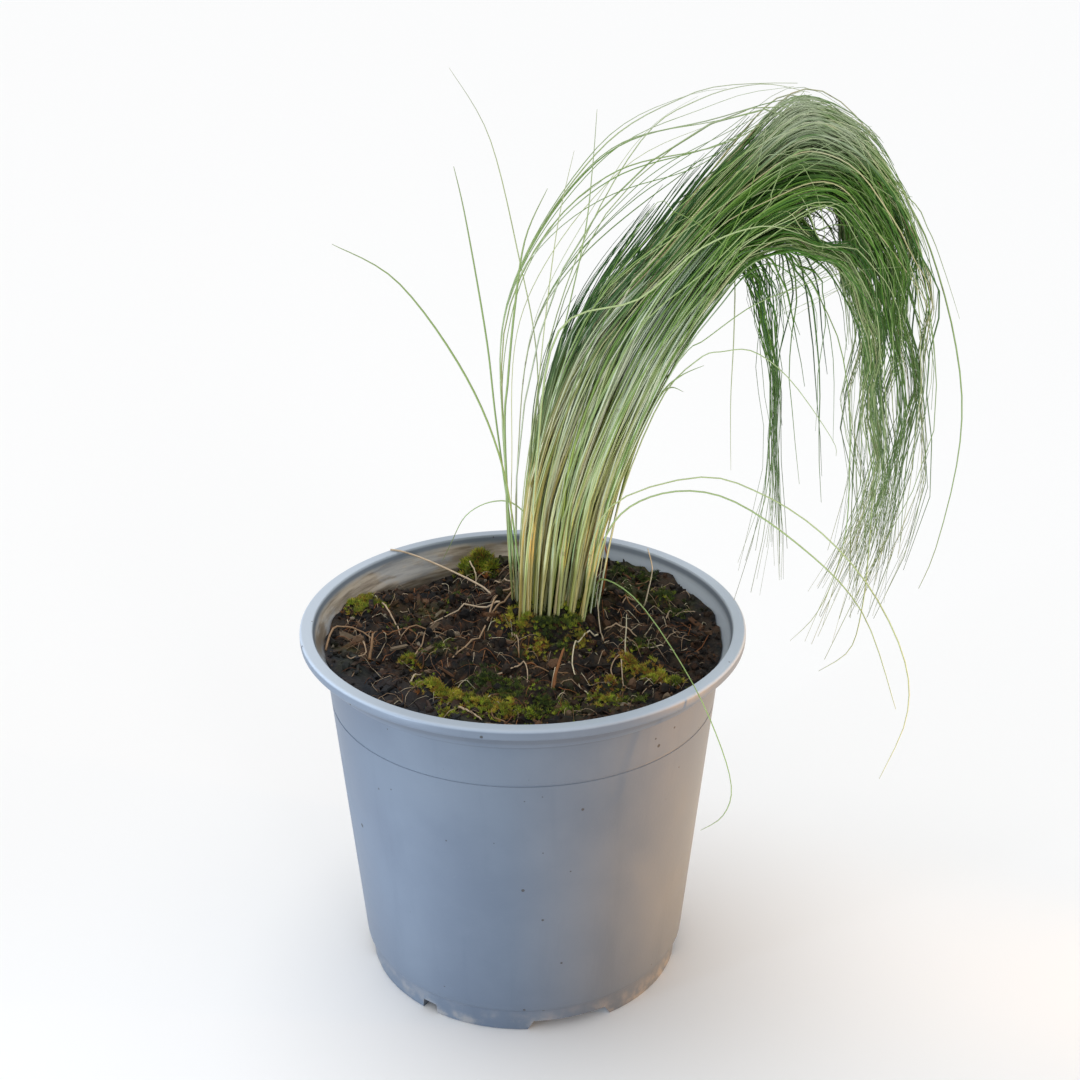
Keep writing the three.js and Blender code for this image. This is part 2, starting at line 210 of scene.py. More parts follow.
def makePatches():
    group, given, mask = newGroup("patches", {"Scale": 40, "Low": 0.4, "High": 0.6})
    cloud = addNode(group, "ShaderNodeTexNoise", inputs={
        "Vector": given["Vector"], "Scale": given["Scale"], "Detail": 6.0, "Roughness": 0.6})
    group.links.new(addRange(group, cloud.outputs["Fac"], given["Low"], given["High"]), mask)
    return group


def makeSpecks():
    group, given, mask = newGroup("specks", {"Scale": 200, "Size": 0.1, "Share": 0.3})
    inputs = {"Vector": given["Vector"], "Scale": given["Scale"]}
    cells = addNode(group, "ShaderNodeTexVoronoi", inputs=inputs)
    pick = addNode(group, "ShaderNodeSeparateColor", inputs={"Color": cells.outputs["Color"]})
    chosen = addMath(group, "LESS_THAN", pick.outputs["Red"], given["Share"])
    reach = times(group, given["Size"], pick.outputs["Green"])
    near = addMath(group, "LESS_THAN", cells.outputs["Distance"], reach)
    group.links.new(times(group, chosen, near), mask)
    return group


patchGroup = makePatches()
speckGroup = makeSpecks()


def addPatches(tree, vector, scale, low, high):
    inputs = {"Vector": vector, "Scale": scale, "Low": low, "High": high}
    return addNode(tree, "ShaderNodeGroup", {"node_tree": patchGroup}, inputs).outputs["Mask"]


def addSpecks(tree, vector, scale, size, share):
    inputs = {"Vector": vector, "Scale": scale, "Size": size, "Share": share}
    return addNode(tree, "ShaderNodeGroup", {"node_tree": speckGroup}, inputs).outputs["Mask"]


def newFinish(name, roughness, level):
    material = bpy.data.materials.new(name)
    material.use_nodes = True
    shader = material.node_tree.nodes["Principled BSDF"]
    shader.inputs["Roughness"].default_value = roughness
    shader.inputs["Specular IOR Level"].default_value = level
    return material, material.node_tree


def finishOff(material, colour, roughness, normal=None):
    tree = material.node_tree
    for name, value in (("Base Color", colour), ("Roughness", roughness), ("Normal", normal)):
        if value:
            tree.links.new(value, tree.nodes["Principled BSDF"].inputs[name])
    return material


# the pot: a thin moulded shell, its rings pulled up one from the next

potShape = {
    "sides": 144,
    "height": 111.35,
    "lipRadius": 65.0, "lipInnerRadius": 61.3, "lipDrop": 3.3, "lipRounding": 0.9,
    "ringRadius": 60.9, "ringBottom": 103.4,
    "wallAtFloor": 48.61, "wallSlope": 0.0921, "wallFoot": 11.0, "wall": 0.95,
    "grooveHeight": 89.5, "grooveHalfWidth": 0.45, "grooveDepth": 0.24,
    "footRadius": 47.7, "footTop": 6.6, "baseLineTop": 8.1, "floor": 4.5,
    "notches": [(-39, -32), (0.8, 33.5), (74, 106), (141, 148), (180.8, 213.5), (254, 286)],
    "notchHeight": 3.2, "notchSlant": 0.82, "notchReach": 17.0,
    "drainRadius": 2.6, "drainAt": 38.5, "rimFlare": 0.55,
    "footRounding": 0.45, "innerRounding": 0.4, "sharpAngle": 32,
}


def wallRadius(height):
    return potShape["wallAtFloor"] + potShape["wallSlope"] * height


def innerRadius(height):
    ring = potShape["ringBottom"]
    return wallRadius(min(height, ring)) - potShape["wall"] + potShape["rimFlare"] * max(0, height - ring)


def arc(centreRadius, centreHeight, size, start, end, steps=4):
    turns = [math.radians(mix(start, end, i / steps)) for i in range(steps + 1)]
    return [(centreRadius + size * math.cos(t), centreHeight + size * math.sin(t)) for t in turns]


def potRings():
    p = potShape
    top = p["height"]
    lipBottom = top - p["lipDrop"]
    r = p["lipRounding"]
    inner = p["innerRounding"]
    groove = p["grooveHeight"]
    ring = p["ringBottom"]
    step = 0.25
    outside = [
        *arc(p["footRadius"] - p["footRounding"], p["footRounding"], p["footRounding"], -90, 0, 3),
        (p["footRadius"] + 0.2, p["footTop"]),
        (p["footRadius"] + 0.35, p["footTop"] + 0.35),
        (wallRadius(p["baseLineTop"]) - 0.25, p["baseLineTop"]),
        (wallRadius(p["baseLineTop"] + 0.5) - 0.02, p["baseLineTop"] + 0.5),
        (wallRadius(p["wallFoot"]), p["wallFoot"]),
        *[(wallRadius(h), h) for h in (24, 38, 52, 66, 78)],
        (wallRadius(groove - p["grooveHalfWidth"]), groove - p["grooveHalfWidth"]),
        (wallRadius(groove) - p["grooveDepth"], groove - step),
        (wallRadius(groove) - p["grooveDepth"], groove + step),
        (wallRadius(groove + p["grooveHalfWidth"]), groove + p["grooveHalfWidth"]),
        *[(wallRadius(h), h) for h in (94, 99)],
        (wallRadius(ring), ring),
        (p["ringRadius"] - 0.35, ring + 0.25),
        (p["ringRadius"], ring + 0.75),
        (p["ringRadius"] + 1, lipBottom - 0.25),
        (p["ringRadius"] + 1.2, lipBottom),
    ]
    lip = [
        *arc(p["lipRadius"] - r, lipBottom + r, r, -90, 0),
        *arc(p["lipRadius"] - r, top - r, r, 0, 90),
        *arc(p["lipInnerRadius"] + inner, top - inner, inner, 90, 165, 3),
    ]
    inside = [
        (p["lipInnerRadius"] - 0.9, lipBottom + 0.3),
        (p["lipInnerRadius"] - 1.1, lipBottom - 0.4),
        (innerRadius(ring) + 0.85, ring + 1.4),
        (innerRadius(ring) + 0.1, ring - 0.2),
        (innerRadius(ring), ring - 0.9),
        *[(innerRadius(h), h) for h in (92, 60, 30)],
        (innerRadius(p["wallFoot"]), p["wallFoot"]),
        (p["footRadius"] - 1.5 * p["wall"], p["footTop"]),
        (p["footRadius"] - 2.5 * p["wall"], p["floor"]),
    ]
    return outside + lip + inside


def pullRing(last, ring):
    bpy.ops.mesh.extrude_edges_move(TRANSFORM_OT_translate={"value": (0, 0, (ring[1] - last[1]) * mm)})
    grown = ring[0] / last[0]
    bpy.ops.transform.resize(value=(grown, grown, 1), center_override=(0, 0, 0))


def notchCutter(start, end):
    p = potShape
    turn = math.radians((start + end) / 2 - 90)
    width = 2 * p["footRadius"] * math.sin(math.radians(end - start) / 2)
    reach = p["notchReach"] + 4
    away = (p["footRadius"] + 4 - reach / 2) * mm
    tall = p["notchHeight"] + 1
    place = (away * math.cos(turn), away * math.sin(turn), (tall / 2 - 1) * mm)
    bpy.ops.mesh.primitive_cube_add(size=1, rotation=(0, 0, turn), location=place)
    cutter = bpy.context.object
    cutter.scale = (reach * mm, width * mm, tall * mm)
    for vertex in cutter.data.vertices:
        if vertex.co.z > 0:
            vertex.co.y *= p["notchSlant"]  # the ends lean in towards the top
    applyPlace(cutter)
    return cutter


def drainCutter(start, end):
    p = potShape
    turn = math.radians((start + end) / 2 - 90)
    away = p["drainAt"] * mm
    bpy.ops.mesh.primitive_cylinder_add(vertices=24, radius=p["drainRadius"] * mm, depth=20 * mm,
                                        location=(away * math.cos(turn), away * math.sin(turn), 0))
    cutter = bpy.context.object
    applyPlace(cutter)
    return cutter


def cutAway(piece, cutters):
    cutter = joinAll(cutters, "cutter")
    cut = piece.modifiers.new("cut", "BOOLEAN")
    cut.operation = "DIFFERENCE"
    cut.solver = "EXACT"
    cut.object = cutter
    applyModifiers(piece)
    bpy.data.objects.remove(cutter)


def makePot():
    rings = potRings()
    selectOnly()
    first = rings[0]
    bpy.ops.mesh.primitive_circle_add(vertices=potShape["sides"], radius=first[0] * mm, fill_type="NOTHING",
                                      location=(0, 0, first[1] * mm))
    pot = bpy.context.object
    applyPlace(pot)
    editMode(pot, "EDGE")
    for last, ring in zip(rings, rings[1:]):
        pullRing(last, ring)
    bpy.ops.mesh.edge_face_add()
    bpy.ops.mesh.select_all(action="DESELECT")
    bpy.ops.mesh.select_non_manifold()
    bpy.ops.mesh.edge_face_add()
    bpy.ops.mesh.select_all(action="SELECT")
    bpy.ops.mesh.normals_make_consistent(inside=False)
    bpy.ops.object.mode_set(mode="OBJECT")
    cutAway(pot, [notchCutter(*span) for span in potShape["notches"]])
    cutAway(pot, [drainCutter(*span) for span in potShape["notches"]])
    selectOnly(pot)
    bpy.ops.object.shade_smooth_by_angle(angle=math.radians(potShape["sharpAngle"]))
    pot.name = pot.data.name = "pot_shell"
    return pot


potLook = {
    "plastic": (0.108, 0.136, 0.181), "faded": (0.133, 0.163, 0.207), "deeper": (0.085, 0.112, 0.155),
    # the dark colour is real dirt on the crumbs and the wet inner wall, and painted shade in the creases
    "bleachedAndLit": (0.48, 0.55, 0.64), "dirtAndShade": (0.045, 0.038, 0.032),
    "stain": (0.20, 0.16, 0.12), "stainPale": (0.50, 0.43, 0.35),
    "roughness": 0.46, "level": 0.45, "wear": 0.35, "grainDepth": 0.05,
    # heights, or distances from the pot's axis, over which a mask comes up
    # the creases are darkened with painted shade
    "outside": (57.7, 57.9), "creases": [(101.7, 103.7), (104.8, 108.1)], "creaseShade": 0.22,
    "ringStep": (103.3, 105.5), "stepDepth": 2.5, "skin": (0.3, 0.7), "innerWall": (60, 70),
    # the lip's top and side and the wall under the lip are painted paler: partly wear, partly painted light
    "lipSide": (108.0, 109.0), "lipSidePaled": 0.12, "lipTop": (110.2, 111.1),
    "underLip": (100, 105), "underLipPaled": 0.9, "flanks": (25, 58), "paledBetween": 0.62,
    "backLeft": (26, 56), "stainElsewhere": 0.05, "stainLeast": 0.55,
    "wet": (104, 100), "wetDirt": 0.3, "crumbs": 0.8, "foot": (9, 0), "footDust": 0.35,
}


def potPlastic():
    look = potLook
    material, tree = newFinish("pot_plastic_matte", look["roughness"], look["level"])
    place = addStretch(tree)
    broad = addPatches(tree, place, 22, 0.35, 0.7)
    streaks = addPatches(tree, addStretch(tree, (1, 1, 0.08)), 140, 0.5, 0.78)
    scuffs = addPatches(tree, addStretch(tree, (1, 0.25, 1)), 420, 0.62, 0.74)
    colour = addMix(tree, broad, look["plastic"], look["faded"])
    colour = paint(tree, colour, look["deeper"], streaks, look["wear"])
    colour = paint(tree, colour, look["faded"], scuffs, look["wear"])

    # painted shade darkens the creases under the ring and under the lip, where the lip's shadow falls
    x, y, z = addParts(tree, place)
    across = addMath(tree, "POWER", addMath(tree, "ADD", times(tree, x, x), times(tree, y, y)), 0.5)
    outside = addRise(tree, across, look["outside"])
    for low, high in look["creases"]:
        line = times(tree, addRise(tree, z, (low - 0.3, low + 0.5)), addRise(tree, z, (high, high - 0.2)))
        colour = paint(tree, colour, look["dirtAndShade"], times(tree, line, outside), look["creaseShade"])

    # the lip's top and the wall under it are painted paler, most at the sides: partly worn plastic, partly
    # painted light on the lip top and on the shaded inner wall
    wallThere = addMath(tree, "ADD", times(tree, z, potShape["wallSlope"]), potShape["wallAtFloor"] * mm)
    limit = addMath(tree, "ADD", wallThere, addRise(tree, z, look["ringStep"], 0, look["stepDepth"] * mm))
    depth = addMath(tree, "SUBTRACT", limit, across)
    inner = times(tree, addRise(tree, depth, look["skin"]), addRise(tree, z, look["innerWall"]))
    lipSide = addRise(tree, z, look["lipSide"], 0, look["lipSidePaled"])
    lipTop = addRise(tree, z, look["lipTop"])
    underLip = times(tree, inner, addRise(tree, z, look["underLip"], 0, look["underLipPaled"]))
    bleachedAndLit = addMath(tree, "MAXIMUM", addMath(tree, "MAXIMUM", lipSide, lipTop), underLip)
    sides = addRise(tree, addMath(tree, "ABSOLUTE", x, 0), look["flanks"], look["paledBetween"], 1)
    colour = addMix(tree, times(tree, bleachedAndLit, sides), colour, look["bleachedAndLit"])

    # the inner wall is stained by wet peat, most at the back left
    side = addMath(tree, "SUBTRACT", times(tree, y, 0.9), x)
    backLeft = addRise(tree, side, look["backLeft"], look["stainElsewhere"], 1)
    bands = addPatches(tree, addStretch(tree, (0.2, 0.2, 2.2)), 200, 0.38, 0.6)
    stain = addMix(tree, bands, look["stain"], look["stainPale"])
    worn = addPatches(tree, addStretch(tree, (0.5, 0.5, 1.5)), 90, 0.3, 0.55)
    stained = times(tree, times(tree, inner, backLeft), addMath(tree, "MAXIMUM", worn, look["stainLeast"]))
    colour = addMix(tree, stained, colour, stain)
    wet = times(tree, inner, addRise(tree, z, look["wet"]))
    colour = paint(tree, colour, look["dirtAndShade"], wet, look["wetDirt"])

    # crumbs of peat are stuck to the outside, and dust gathers on the foot
    clods, grit = addSpecks(tree, place, 190, 0.13, 0.16), addSpecks(tree, place, 520, 0.16, 0.05)
    marks = addMath(tree, "MAXIMUM", clods, grit)
    colour = paint(tree, colour, look["dirtAndShade"], marks, look["crumbs"])
    dust = times(tree, addRise(tree, z, look["foot"]), addPatches(tree, place, 160, 0.42, 0.62))
    colour = paint(tree, colour, look["stainPale"], dust, look["footDust"])
    rough = addRange(tree, broad, 0, 1, look["roughness"] - 0.05, look["roughness"] + 0.09)
    rough = addMath(tree, "ADD", rough, times(tree, marks, 0.3))
    height = addMath(tree, "ADD", addGrain(tree, place, 1400, 3), times(tree, marks, 3.0))
    return finishOff(material, colour, rough, addBump(tree, height, look["grainDepth"], 0.5))


pot = settle(makePot(), potPlastic(), "pot_plastic", "pot")
print("pot made,", len(pot.data.polygons), "faces")


# the soil: a plug whose top rises at the crown and towards the wall on the right

soilShape = {
    "sides": 160, "rings": 62, "level": 104.6, "shoulder": 102.3, "shoulderDrop": 0.6,
    "clearance": 0.35, "bottom": 5.2, "moundHeight": 8.0, "moundSpread": 13.5,
    "wallRise": 0.6, "wallRiseFrom": 40, "wallRiseTo": 57, "bankHeight": 1.2, "bankFrom": 22, "bankTo": 48,
    "hollow": (-33, 46), "hollowDepth": 6.0, "hollowSpread": 11,
    "broadRipple": 1.3, "fineRipple": 1.0, "rippleFrom": 11, "rippleTo": 19, "atWall": 0.4,
    "clods": 2.2, "clodSize": 5.0, "crumb": 1.2, "crumbSize": 1.5, "footInset": 3.5, "sharpAngle": 50,
}
crown = {"x": 10, "y": 14}


def fromCrown(x, y):
    return math.hypot(x - crown["x"], y - crown["y"])


def bump(x, y, middle, spread):
    return math.exp(-0.5 * (math.hypot(x - middle[0], y - middle[1]) / spread) ** 2)


def nearWall(x, y):
    return smooth(math.hypot(x, y), soilShape["wallRiseFrom"], soilShape["wallRiseTo"])


def soilTop(x, y):
    s = soilShape
    mound = s["moundHeight"] * bump(x, y, (crown["x"], crown["y"]), s["moundSpread"])
    right = smooth(x * 0.8 + y * 0.35, s["bankFrom"], s["bankTo"])
    bank = s["wallRise"] * nearWall(x, y) + s["bankHeight"] * right
    hollow = s["hollowDepth"] * bump(x, y, s["hollow"], s["hollowSpread"])
    broad = s["broadRipple"] * math.sin(x / 6.1 + 0.7) * math.sin(y / 5.3 + 1.1)
    fine = s["fineRipple"] * math.sin(x / 2.9 + y / 4.1) * math.cos(y / 3.3 - x / 5.7)
    ripple = (broad + fine) * smooth(fromCrown(x, y), s["rippleFrom"], s["rippleTo"])
    ripple *= mix(1, s["atWall"], nearWall(x, y))
    return s["level"] + mound + bank - hollow + ripple


def soilRough(x, y):
    s = soilShape
    clods = noise.fractal(Vector((x, y, 0)) / s["clodSize"], 0.8, 2.1, 4)
    crumbs = noise.noise(Vector((x, y, 7)) / s["crumbSize"])
    return (s["clods"] * clods + s["crumb"] * crumbs) * mix(1, s["atWall"], nearWall(x, y))


def inPot(x, y, room):
    return math.hypot(x, y) < innerRadius(soilTop(x, y)) - room


def raiseFace(height):
    bpy.ops.mesh.extrude_region_move(TRANSFORM_OT_translate={"value": (0, 0, height * mm)})


def makeSoil():
    s = soilShape
    topRadius = innerRadius(s["shoulder"]) - s["clearance"]
    lowRadius = potShape["footRadius"] - s["footInset"]
    grown = topRadius / lowRadius
    selectOnly()
    bpy.ops.mesh.primitive_circle_add(vertices=s["sides"], radius=lowRadius * mm, fill_type="NGON",
                                      location=(0, 0, s["bottom"] * mm))
    soil = bpy.context.object
    applyPlace(soil)
    editMode(soil, "FACE")
    raiseFace(s["shoulder"] - s["bottom"])
    bpy.ops.transform.resize(value=(grown, grown, 1), center_override=(0, 0, 0))
    raiseFace(s["level"] - s["shoulder"])
    for _ in range(s["rings"]):
        bpy.ops.mesh.inset(thickness=topRadius * mm / (s["rings"] + 1))
    bpy.ops.mesh.poke()
    bpy.ops.mesh.select_all(action="SELECT")
    bpy.ops.mesh.fill_holes(sides=0)
    bpy.ops.mesh.normals_make_consistent(inside=False)
    bpy.ops.object.mode_set(mode="OBJECT")
    for vertex in soil.data.vertices:
        x, y, z = (value / mm for value in vertex.co)
        top = soilTop(x, y) + soilRough(x, y)
        if z > s["level"] - 0.1:
            # the surface reaches out to the wall, which widens over the ring
            wider = (innerRadius(top) - s["clearance"]) / topRadius
            pull = mix(1, wider, smooth(math.hypot(x, y), 0.6 * topRadius, topRadius))
            vertex.co = Vector((x * pull, y * pull, top)) * mm
        elif z > s["shoulder"] - 0.1:
            height = min(s["shoulder"], top - s["shoulderDrop"])
            pull = (innerRadius(height) - s["clearance"]) / topRadius
            vertex.co = Vector((x * pull, y * pull, height)) * mm
    selectOnly(soil)
    bpy.ops.object.shade_smooth_by_angle(angle=math.radians(s["sharpAngle"]))
    soil.name = soil.data.name = "soil_surface"
    return soil


soilLook = {
    "black": (0.007, 0.007, 0.008), "brown": (0.034, 0.023, 0.015), "red": (0.085, 0.038, 0.018),
    "pale": (0.20, 0.155, 0.11), "green": (0.050, 0.058, 0.012), "bluish": (0.022, 0.027, 0.036),
    # loose crumbs and chips, from the darkest to the palest
    "tones": [(0.0, (0.005, 0.005, 0.006)), (0.45, (0.018, 0.013, 0.010)), (0.7, (0.055, 0.030, 0.017)),
              (0.85, (0.13, 0.062, 0.030)), (0.95, (0.20, 0.15, 0.10)), (1.0, (0.34, 0.30, 0.24))],
    "looseShare": 0.8, "algaeShare": 0.5,
    # it is bluish black at the front left, over this span of x + y
    "bluishFront": (-54, -68), "wetShare": 0.5,
    "roughness": 0.9, "level": 0.25, "grainDepth": 0.6,
}


def peatFinish(name, warmth, loose):
    look = soilLook
    material, tree = newFinish(name, look["roughness"], look["level"])
    place = addStretch(tree)
    colour = addMix(tree, addPatches(tree, place, 110, 0.42, 0.6), look["black"], look["brown"])
    if loose:
        colour = addMix(tree, look["looseShare"], colour, addRamp(tree, addShade(tree), look["tones"]))
    colour = paint(tree, colour, look["red"], addPatches(tree, place, 260, 0.52, 0.68), warmth)
    colour = paint(tree, colour, look["pale"], addPatches(tree, place, 620, 0.62, 0.74), warmth)
    colour = paint(tree, colour, look["green"], addPatches(tree, place, 60, 0.54, 0.68), look["algaeShare"])
    x, y, _ = addParts(tree, place)
    # the soil is tinted bluish black towards the front left
    wet = addRise(tree, addMath(tree, "ADD", x, y), look["bluishFront"])
    colour = paint(tree, colour, look["bluish"], wet, look["wetShare"])
    grain = addGrain(tree, place, 900, 5)
    bumps = addBump(tree, grain, look["grainDepth"], 0.9)
    return finishOff(material, colour, addRange(tree, grain, 0.3, 0.7, 0.75, 1.0), bumps)


peat = peatFinish("peat_dark", 0.5, False)
crumbPeat = peatFinish("peat_crumbs", 0.4, True)
barkBrown = peatFinish("bark_brown", 0.9, True)
soil = settle(makeSoil(), peat, "peat_soil", "soil")
print("soil made,", len(soil.data.polygons), "faces")


# what lies on the soil: crumbs, bark chips, fibres, roots and moss, each shape made once and copied

def onSoil(draw, keepFrom, room):
    while True:
        turn = draw.uniform(0, 2 * math.pi)
        away = math.sqrt(draw.random()) * potShape["lipInnerRadius"]
        x, y = away * math.cos(turn), away * math.sin(turn)
        if fromCrown(x, y) > keepFrom and inPot(x, y, room):
            return x, y


crumbShape = {"count": 2300, "small": (0.6, 1.7), "large": (1.8, 4.2), "largeShare": 0.14, "keepFrom": 11,
              "kinds": 4, "rough": 0.28, "sunk": 0.14, "flatness": [(0.6, 1), (0.5, 1)],
              "blackFrom": 30, "blackTo": 60, "blackShare": 0.6}
chipShape = {"count": 190, "long": (2.5, 7.0), "wide": (0.16, 0.36), "thick": (0.08, 0.2), "keepFrom": 15,
             "kinds": 5, "rough": 0.11, "tilts": (0.5, 0.6), "lift": 0.3}


def shapeCrumb(seed):
    draw = random.Random(seed)
    rough = crumbShape["rough"]
    selectOnly()
    bpy.ops.mesh.primitive_ico_sphere_add(subdivisions=1, radius=0.5)
    crumb = bpy.context.object
    for vertex in crumb.data.vertices:
        vertex.co *= draw.uniform(1 - rough, 1 + rough)
    return crumb


def shapeChip(seed):
    draw = random.Random(seed)
    selectOnly()
    bpy.ops.mesh.primitive_cube_add(size=1)
    chip = bpy.context.object
    editMode(chip, "EDGE")
    bpy.ops.mesh.subdivide(number_cuts=1)
    bpy.ops.object.mode_set(mode="OBJECT")
    for vertex in chip.data.vertices:
        vertex.co += Vector([draw.uniform(-1, 1) for _ in range(3)]) * chipShape["rough"]
        vertex.co.y *= 1 - 0.5 * abs(vertex.co.x)
    return chip


def scatter(shapes, places, tones, name):
    copies = []
    for index, (place, tone) in enumerate(zip(places, tones)):
        copy = shapes[index % len(shapes)].copy()
        copy.data = copy.data.copy()
        copy.data.transform(place)
        shade = copy.data.attributes.new("tone", "FLOAT", "POINT")
        shade.data.foreach_set("value", [tone] * len(copy.data.vertices))
        bpy.context.scene.collection.objects.link(copy)
        copies.append(copy)
    whole = joinAll(copies, name)
    for shape in shapes:
        bpy.data.objects.remove(shape)
    return whole


def placeOn(x, y, lift, turn, size):
    where = Vector((x, y, soilTop(x, y) + soilRough(x, y) + lift)) * mm
    return Matrix.LocRotScale(where, Euler(turn), Vector(size) * mm)


def makeCrumbs():
    draw = random.Random(11)
    s = crumbShape
    places, tones = [], []
    for _ in range(s["count"]):
        kind = "large" if draw.random() < s["largeShare"] else "small"
        size = draw.uniform(*s[kind])
        x, y = onSoil(draw, s["keepFrom"], 0.3 + 0.5 * size)
        turn = [anyTurn(draw) for _ in range(3)]
        flat = [size * draw.uniform(*span) for span in s["flatness"]]
        places.append(placeOn(x, y, size * s["sunk"], turn, (size, *flat)))
        # clumps at the right and back are black, the palest crumbs are small
        black = mix(1, s["blackShare"], smooth(x + y, s["blackFrom"], s["blackTo"]))
        tones.append(draw.random() ** (2.2 if kind == "large" else 1.3) * black)
    return scatter([shapeCrumb(seed) for seed in range(s["kinds"])], places, tones, "soil_crumbs")


def makeChips():
    draw = random.Random(12)
    s = chipShape
    places, tones = [], []
    for _ in range(s["count"]):
        length = draw.uniform(*s["long"])
        x, y = onSoil(draw, s["keepFrom"], 0.3 + 0.5 * length)
        turn = [draw.uniform(-tilt, tilt) for tilt in s["tilts"]] + [anyTurn(draw)]
        size = (length, length * draw.uniform(*s["wide"]), length * draw.uniform(*s["thick"]))
        places.append(placeOn(x, y, s["lift"], turn, size))
        tones.append(draw.random())
    return scatter([shapeChip(seed) for seed in range(s["kinds"])], places, tones, "bark_chips")


settle(makeCrumbs(), crumbPeat, "peat_soil")
settle(makeChips(), barkBrown, "peat_soil")
print("crumbs and chips scattered")


# strands: leaves, sheaths, roots and fibres are swept along lines, each kind with a section of its own

def roundSection(name, sides, flat=1.0):
    curve = bpy.data.curves.new(name, "CURVE")
    curve.dimensions = "2D"
    spline = curve.splines.new("POLY")
    spline.points.add(sides - 1)
    spline.use_cyclic_u = True
    for index, point in enumerate(spline.points):
        turn = -2 * math.pi * index / sides
        point.co = (math.cos(turn), math.sin(turn) * flat, 0, 1)
    section = bpy.data.objects.new(name, curve)
    bpy.context.scene.collection.objects.link(section)
    return section


def catmull(a, b, c, d, share):
    return 0.5 * (2 * b + (c - a) * share + (2 * a - 5 * b + 4 * c - d) * share ** 2
                  + (3 * b - 3 * c + d - a) * share ** 3)


def alongLine(stations, share):
    place = min(max(share, 0), 1) * (len(stations) - 1)
    index = min(int(place), len(stations) - 2)
    before = stations[max(index - 1, 0)]
    after = stations[min(index + 2, len(stations) - 1)]
    return catmull(before, stations[index], stations[index + 1], after, place - index)


def alongPath(path, count):
    return [[alongLine(values, i / (count - 1)) for values in zip(*path)] for i in range(count)]


def sweep(name, strands, section):
    curve = bpy.data.curves.new(name, "CURVE")
    curve.dimensions = "3D"
    curve.bevel_mode = "OBJECT"
    curve.bevel_object = section
    for strand in strands:
        spline = curve.splines.new("POLY")
        spline.points.add(len(strand["points"]) - 1)
        for point, place, radius in zip(spline.points, strand["points"], strand["radii"]):
            point.co = (*(place * mm), 1)
            point.radius = radius * mm
            point.tilt = strand.get("tilt", 0)
    piece = bpy.data.objects.new(name, curve)
    bpy.context.scene.collection.objects.link(piece)
    selectOnly(piece)
    bpy.ops.object.convert(target="MESH")
    piece = bpy.context.object
    # every strand has the same number of points, so a vertex knows its strand and its share of the way
    perRing = len(section.data.splines[0].points)
    perStrand = len(strands[0]["points"])
    shades = {"tone": [], "along": [], "stalk": []}
    for index in range(len(piece.data.vertices)):
        ring = index // perRing
        strand = strands[ring // perStrand]
        run = (ring % perStrand) / (perStrand - 1)
        shades["tone"].append(strand["tone"])
        shades["along"].append(mix(strand.get("from", 0), strand.get("to", 1), run))
        shades["stalk"].append(strand.get("stalk", strand["tone"]))
    for key, values in shades.items():
        piece.data.attributes.new(key, "FLOAT", "POINT").data.foreach_set("value", values)
    editMode(piece)
    bpy.ops.mesh.fill_holes(sides=perRing)
    bpy.ops.object.mode_set(mode="OBJECT")
    bpy.ops.object.shade_smooth()
    piece.name = piece.data.name = name
    return piece


fibreShape = {"count": 900, "long": (2.5, 11), "radius": (0.06, 0.14), "points": 6, "keepFrom": 11,
              "taper": 0.6, "curl": 1.6, "lift": (0.4, 2.6), "sunk": 0.4, "uneven": 0.7,
              "darkShare": 0.68, "dark": (0.1, 0.62), "pale": (0.7, 1.0)}
rootShape = {"count": 24, "long": (12, 30), "radius": (0.14, 0.32), "points": 14, "keepFrom": 12,
             "taper": 0.55, "lift": (0.1, 1.6), "sunk": 0.5, "bend": 0.8,
             "stalkTone": 0.9, "stalkRadius": 0.31}
